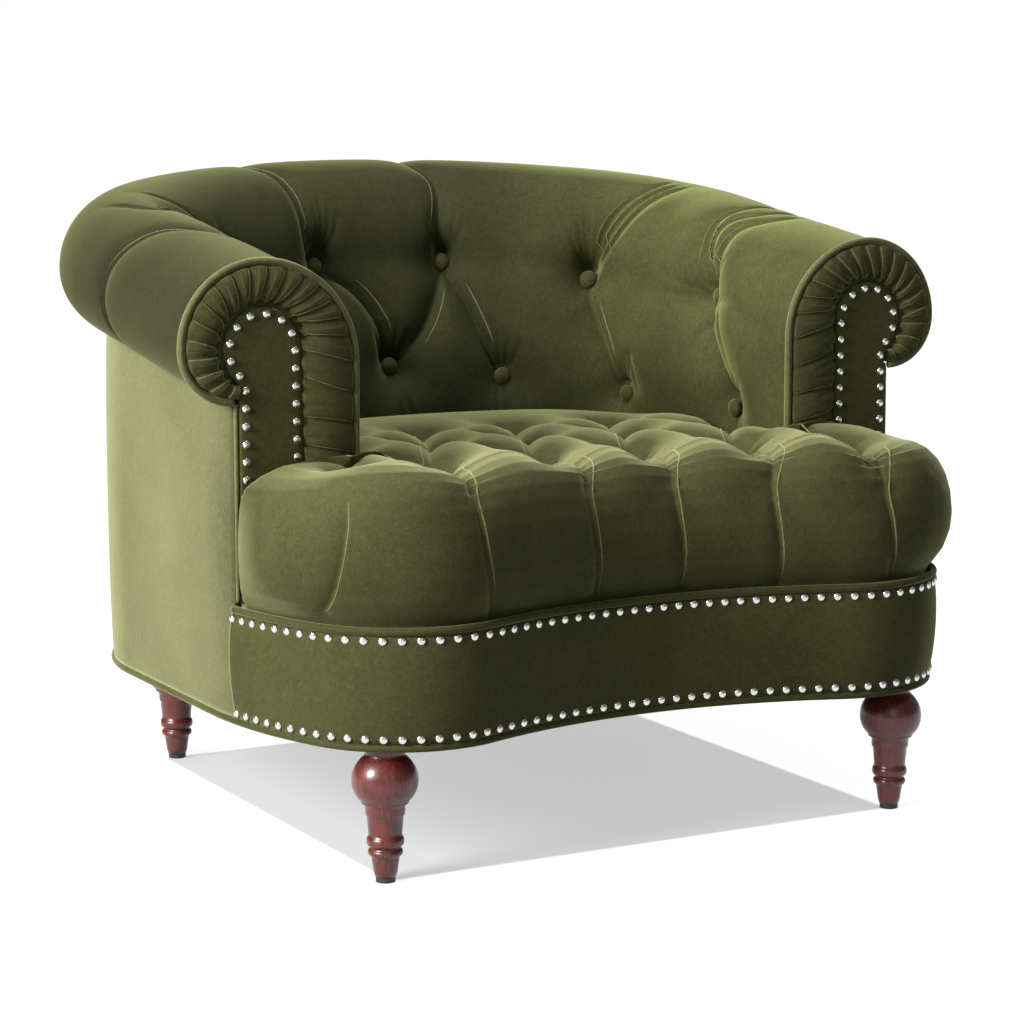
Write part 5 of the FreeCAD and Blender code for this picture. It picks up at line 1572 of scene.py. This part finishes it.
    def build(self) -> None:
        """Build the seat, its tufts and pleats, and the edges of the pleats."""
        mesh = self.form()
        skin = Skin(mesh)
        tufts = self.front_row + self.middle_row + self.rear_row
        folds = []
        for index, (x, y) in enumerate(tufts):
            for other_x, other_y in tufts[index + 1:]:
                if 0.03 < other_y - y < 0.2 and abs(other_x - x) < 0.10:
                    path = self.over_top(skin, (x, y), (other_x, other_y), 0.03)
                    folds.append(Fold(path, self.diagonal))
        for (_, y), aside in zip(self.front_row[1:], self.pleats):
            path = self.front_pleat(skin, y, aside)
            folds.append(Fold(path[:25], self.valley))
            x = aside[0]
            end = (x - self.opening_run[0], y - self.opening_run[1])
            folds.append(Fold(self.over_top(skin, (x, y), end, 0.0), self.opening))
            folds.append(Fold(path, self.pleat, 1, (7, None)))
        dart = self.front_pleat(skin, self.front_row[0][1], self.dart)
        folds.append(Fold(dart[20:], self.dart_crease))
        hollows = []
        for x, y in tufts:
            hit, _, _, _ = skin.tree.ray_cast(Vector((x, y, self.cast_z)), Vector((0, 0, -1)))
            hollows.append(Hollow(np.array(hit), *self.hollow))
            folds += self.wrinkles(skin, (x, y))
        skin.press(folds, hollows)
        self.hand_in("velvet_seat", mesh, Slot.VELVET, "seat_cushion", padded=0.85)
        # The fold cords take the pale velvet: painted highlight along the folds' edges.
        self.hand_in("seat_fold_edges", skin.cords("seat_fold_edges", folds), Slot.VELVET,
                     finish=self.finishes.pale_highlight)


def remeshed(mesh: Mesh, voxel: float) -> Mesh:
    """Even mesh of small faces over a closed form.

    Args:
        mesh: The closed form, which is dropped.
        voxel: Size of a face.

    Returns:
        The new mesh.
    """
    holder = bpy.data.objects.new("form", mesh)
    bpy.context.scene.collection.objects.link(holder)
    modifier = holder.modifiers.new("even", "REMESH")
    modifier.mode = "VOXEL"
    modifier.voxel_size = voxel
    smooth = holder.modifiers.new("smooth", "SMOOTH")
    smooth.iterations = 6
    smooth.factor = 0.5
    depsgraph = bpy.context.evaluated_depsgraph_get()
    result = bpy.data.meshes.new_from_object(holder.evaluated_get(depsgraph))
    bpy.data.objects.remove(holder)
    bpy.data.meshes.remove(mesh)
    return result


@dataclass
class Legs(Chair):
    """Four turned legs: foot, two rings, collar, ball and neck."""

    profile: Line = (
        (0.0, 6), (12, 6), (13.6, 12), (15, 22), (15.8, 27), (16, 30), (18.3, 31), (19.7, 33),
        (19.8, 35.5), (18.6, 38), (16.8, 39), (17.1, 40), (17.5, 41), (20, 42.4), (21.2, 45),
        (21.2, 49), (20.2, 52), (18.9, 53), (19.2, 58), (20, 67), (20.8, 76), (22, 77.6),
        (22.6, 81), (22.5, 86), (23.2, 89), (26.9, 91), (27.2, 92.2), (27.0, 93.2), (31, 97),
        (35, 103.5), (37.2, 111), (37.6, 117.6), (36.9, 124.5), (34.5, 131.5), (30, 138.5),
        (26.5, 142.3), (23.5, 145), (22.6, 147.5), (22.6, 150), (24.2, 153), (24.8, 156.7),
        (24.8, 157.6), (0.0, 157.6))
    places: tuple[tuple[str, float, float], ...] = (
        ("front_legs", 0.346, -0.4055), ("rear_legs", 0.324, 0.2645))

    def turned(self, x: float, y: float) -> Mesh:
        """One leg, spun round its axis at a place."""
        shape = bmesh.new()
        chain = [shape.verts.new((radius / 1000, 0, z / 1000)) for radius, z in self.profile]
        edges = [shape.edges.new(pair) for pair in zip(chain, chain[1:])]
        bmesh.ops.spin(shape, geom=chain + edges, cent=(0, 0, 0), axis=(0, 0, 1),
                       angle=2 * math.pi, steps=72, use_merge=True)
        bmesh.ops.remove_doubles(shape, verts=shape.verts, dist=1e-6)
        bmesh.ops.recalc_face_normals(shape, faces=shape.faces)
        bmesh.ops.translate(shape, vec=(x, y, 0), verts=shape.verts)
        return meshed("leg", shape)

    def build(self) -> None:
        """Build the front pair and the rear pair."""
        for name, x, y in self.places:
            pair = joined(name, [self.turned(side * x, y) for side in (-1, 1)])
            self.hand_in(f"polished_{name}", pair, Slot.LEGS, name)


@dataclass
class Studio:
    """Floor, light and camera of the picture."""

    floor_span: float = 40.0
    # The contact and shade settings set the painted shade in the floor's glow, near the chair and
    # between its feet.
    contact_reach: float = 0.09
    contact_level: float = 0.72
    open_level: float = 0.97
    shade_level: float = 0.56
    shade_side: tuple[float, float] = (0.346, 0.336)
    shade_front: tuple[float, float] = (-0.412, -0.402)
    shade_rear: tuple[float, float] = (0.270, 0.260)
    room_light: float = 0.22
    lamps: tuple[tuple[str, tuple[float, ...], float, float, float], ...] = (
        ("left_key", (-3.3, -0.7, 1.8), 0.45, 1.6, 255),
        ("top_fill", (-0.2, 0.1, 3.2), 0.4, 1.8, 84),
        ("front_fill", (-1.2, -4.0, 1.6), 0.45, 2.5, 16))
    camera_place: tuple[float, ...] = (-1.7358, -3.2428, 0.8974)
    camera_turn: tuple[float, ...] = (81.38, 0.0, -28.67)
    lens: float = 101.95

    def build(self) -> None:
        """Set up everything that isn't the chair."""
        self.build_floor()
        self.build_world()
        self.build_lamps()
        self.build_camera()
        bpy.context.scene.view_settings.view_transform = "Standard"

    def build_floor(self) -> None:
        """White floor that keeps the chair's shadow, with painted shade in its glow near the chair
        and between its feet.
        """
        plate = bmesh.new()
        bmesh.ops.create_grid(plate, x_segments=1, y_segments=1, size=self.floor_span)
        mesh = meshed("studio_floor", plate)
        sheet = Sheet("white_floor")
        diffuse = sheet.node("BsdfDiffuse")
        tone = sheet.ramp(sheet.noise(0.7, 2), [(0.3, (0.22, 0.22, 0.22)),
                                                (0.7, (0.23, 0.23, 0.23))])
        sheet.link(tone, diffuse.inputs["Color"])
        glow = sheet.node("Emission")
        # Painted shade: ambient occlusion lowers the glow where the chair is close above the floor.
        covered = sheet.node("AmbientOcclusion", samples=12)
        covered.inputs["Distance"].default_value = self.contact_reach
        level = sheet.remapped(covered.outputs["AO"], 0.15, 0.95, self.contact_level,
                               self.open_level)
        # Painted shadow: the glow is also lowered between the four feet.
        shaded_glow = sheet.computed("MULTIPLY", level, self.footprint_shadow(sheet))
        path = sheet.node("LightPath").outputs
        seen = sheet.computed("ADD", path["Is Camera Ray"], path["Is Glossy Ray"],
                              use_clamp=True)
        sheet.link(sheet.computed("MULTIPLY", seen, shaded_glow), glow.inputs["Strength"])
        both = sheet.node("AddShader")
        sheet.link(diffuse.outputs["BSDF"], both.inputs[0])
        sheet.link(glow.outputs["Emission"], both.inputs[1])
        sheet.link(both.outputs["Shader"], sheet.output.inputs["Surface"])
        mesh.materials.append(sheet.material)
        floor = bpy.data.objects.new("studio_floor", mesh)
        bpy.context.scene.collection.objects.link(floor)

    def footprint_shadow(self, sheet: Sheet) -> Socket:
        """Painted shadow: level of the floor's glow, lower between the four feet where the chair
        covers it.
        """
        place = sheet.axes()
        inside = [sheet.remapped(source, start, end, interpolation_type="SMOOTHSTEP")
                  for source, (start, end) in (
                      (sheet.computed("ABSOLUTE", place["X"]), self.shade_side),
                      (place["Y"], self.shade_front), (place["Y"], self.shade_rear))]
        shade = sheet.computed("MULTIPLY", sheet.computed("MULTIPLY", inside[0], inside[1]),
                               inside[2])
        return sheet.remapped(shade, 0.0, 1.0, 1.0, self.shade_level)

    def build_world(self) -> None:
        """White surroundings: bright to the eye, softer as a light."""
        world = bpy.data.worlds.new("studio")
        bpy.context.scene.world = world
        world.use_nodes = True
        tree = world.node_tree
        tree.nodes.clear()
        output = tree.nodes.new("ShaderNodeOutputWorld")
        soft = tree.nodes.new("ShaderNodeBackground")
        soft.inputs["Strength"].default_value = self.room_light
        white = tree.nodes.new("ShaderNodeBackground")
        white.inputs["Strength"].default_value = 1.0
        for node in (soft, white):
            node.inputs["Color"].default_value = (1, 1, 1, 1)
        path = tree.nodes.new("ShaderNodeLightPath")
        mix = tree.nodes.new("ShaderNodeMixShader")
        tree.links.new(path.outputs["Is Camera Ray"], mix.inputs[0])
        tree.links.new(soft.outputs[0], mix.inputs[1])
        tree.links.new(white.outputs[0], mix.inputs[2])
        tree.links.new(mix.outputs[0], output.inputs["Surface"])

    def build_lamps(self) -> None:
        """Large soft lamps: left, above and a weak one in front."""
        for name, place, aim_z, size, power in self.lamps:
            lamp = bpy.data.lights.new(name, "AREA")
            lamp.shape = "DISK"
            lamp.size = size
            lamp.energy = power
            holder = bpy.data.objects.new(name, lamp)
            holder.location = place
            towards = Vector((0, 0, aim_z)) - Vector(place)
            holder.rotation_euler = towards.to_track_quat("-Z", "Y").to_euler()
            bpy.context.scene.collection.objects.link(holder)

    def build_camera(self) -> None:
        """Camera where the photograph was taken from."""
        lens = bpy.data.cameras.new("photo_camera")
        lens.sensor_width = 36
        lens.lens = self.lens
        camera = bpy.data.objects.new("photo_camera", lens)
        camera.location = self.camera_place
        camera.rotation_euler = [math.radians(angle) for angle in self.camera_turn]
        bpy.context.scene.collection.objects.link(camera)
        bpy.context.scene.camera = camera


def main() -> None:
    """Build the chair and the studio."""
    logging.basicConfig(level=logging.INFO)
    finishes = Finishes()
    finishes.dress_nodes()
    for part in (BackPad(finishes), ArmFronts(finishes), Outside(finishes), Seat(finishes),
                 Legs(finishes)):
        part.build()
    Studio().build()


if __name__ == "__main__":
    main()
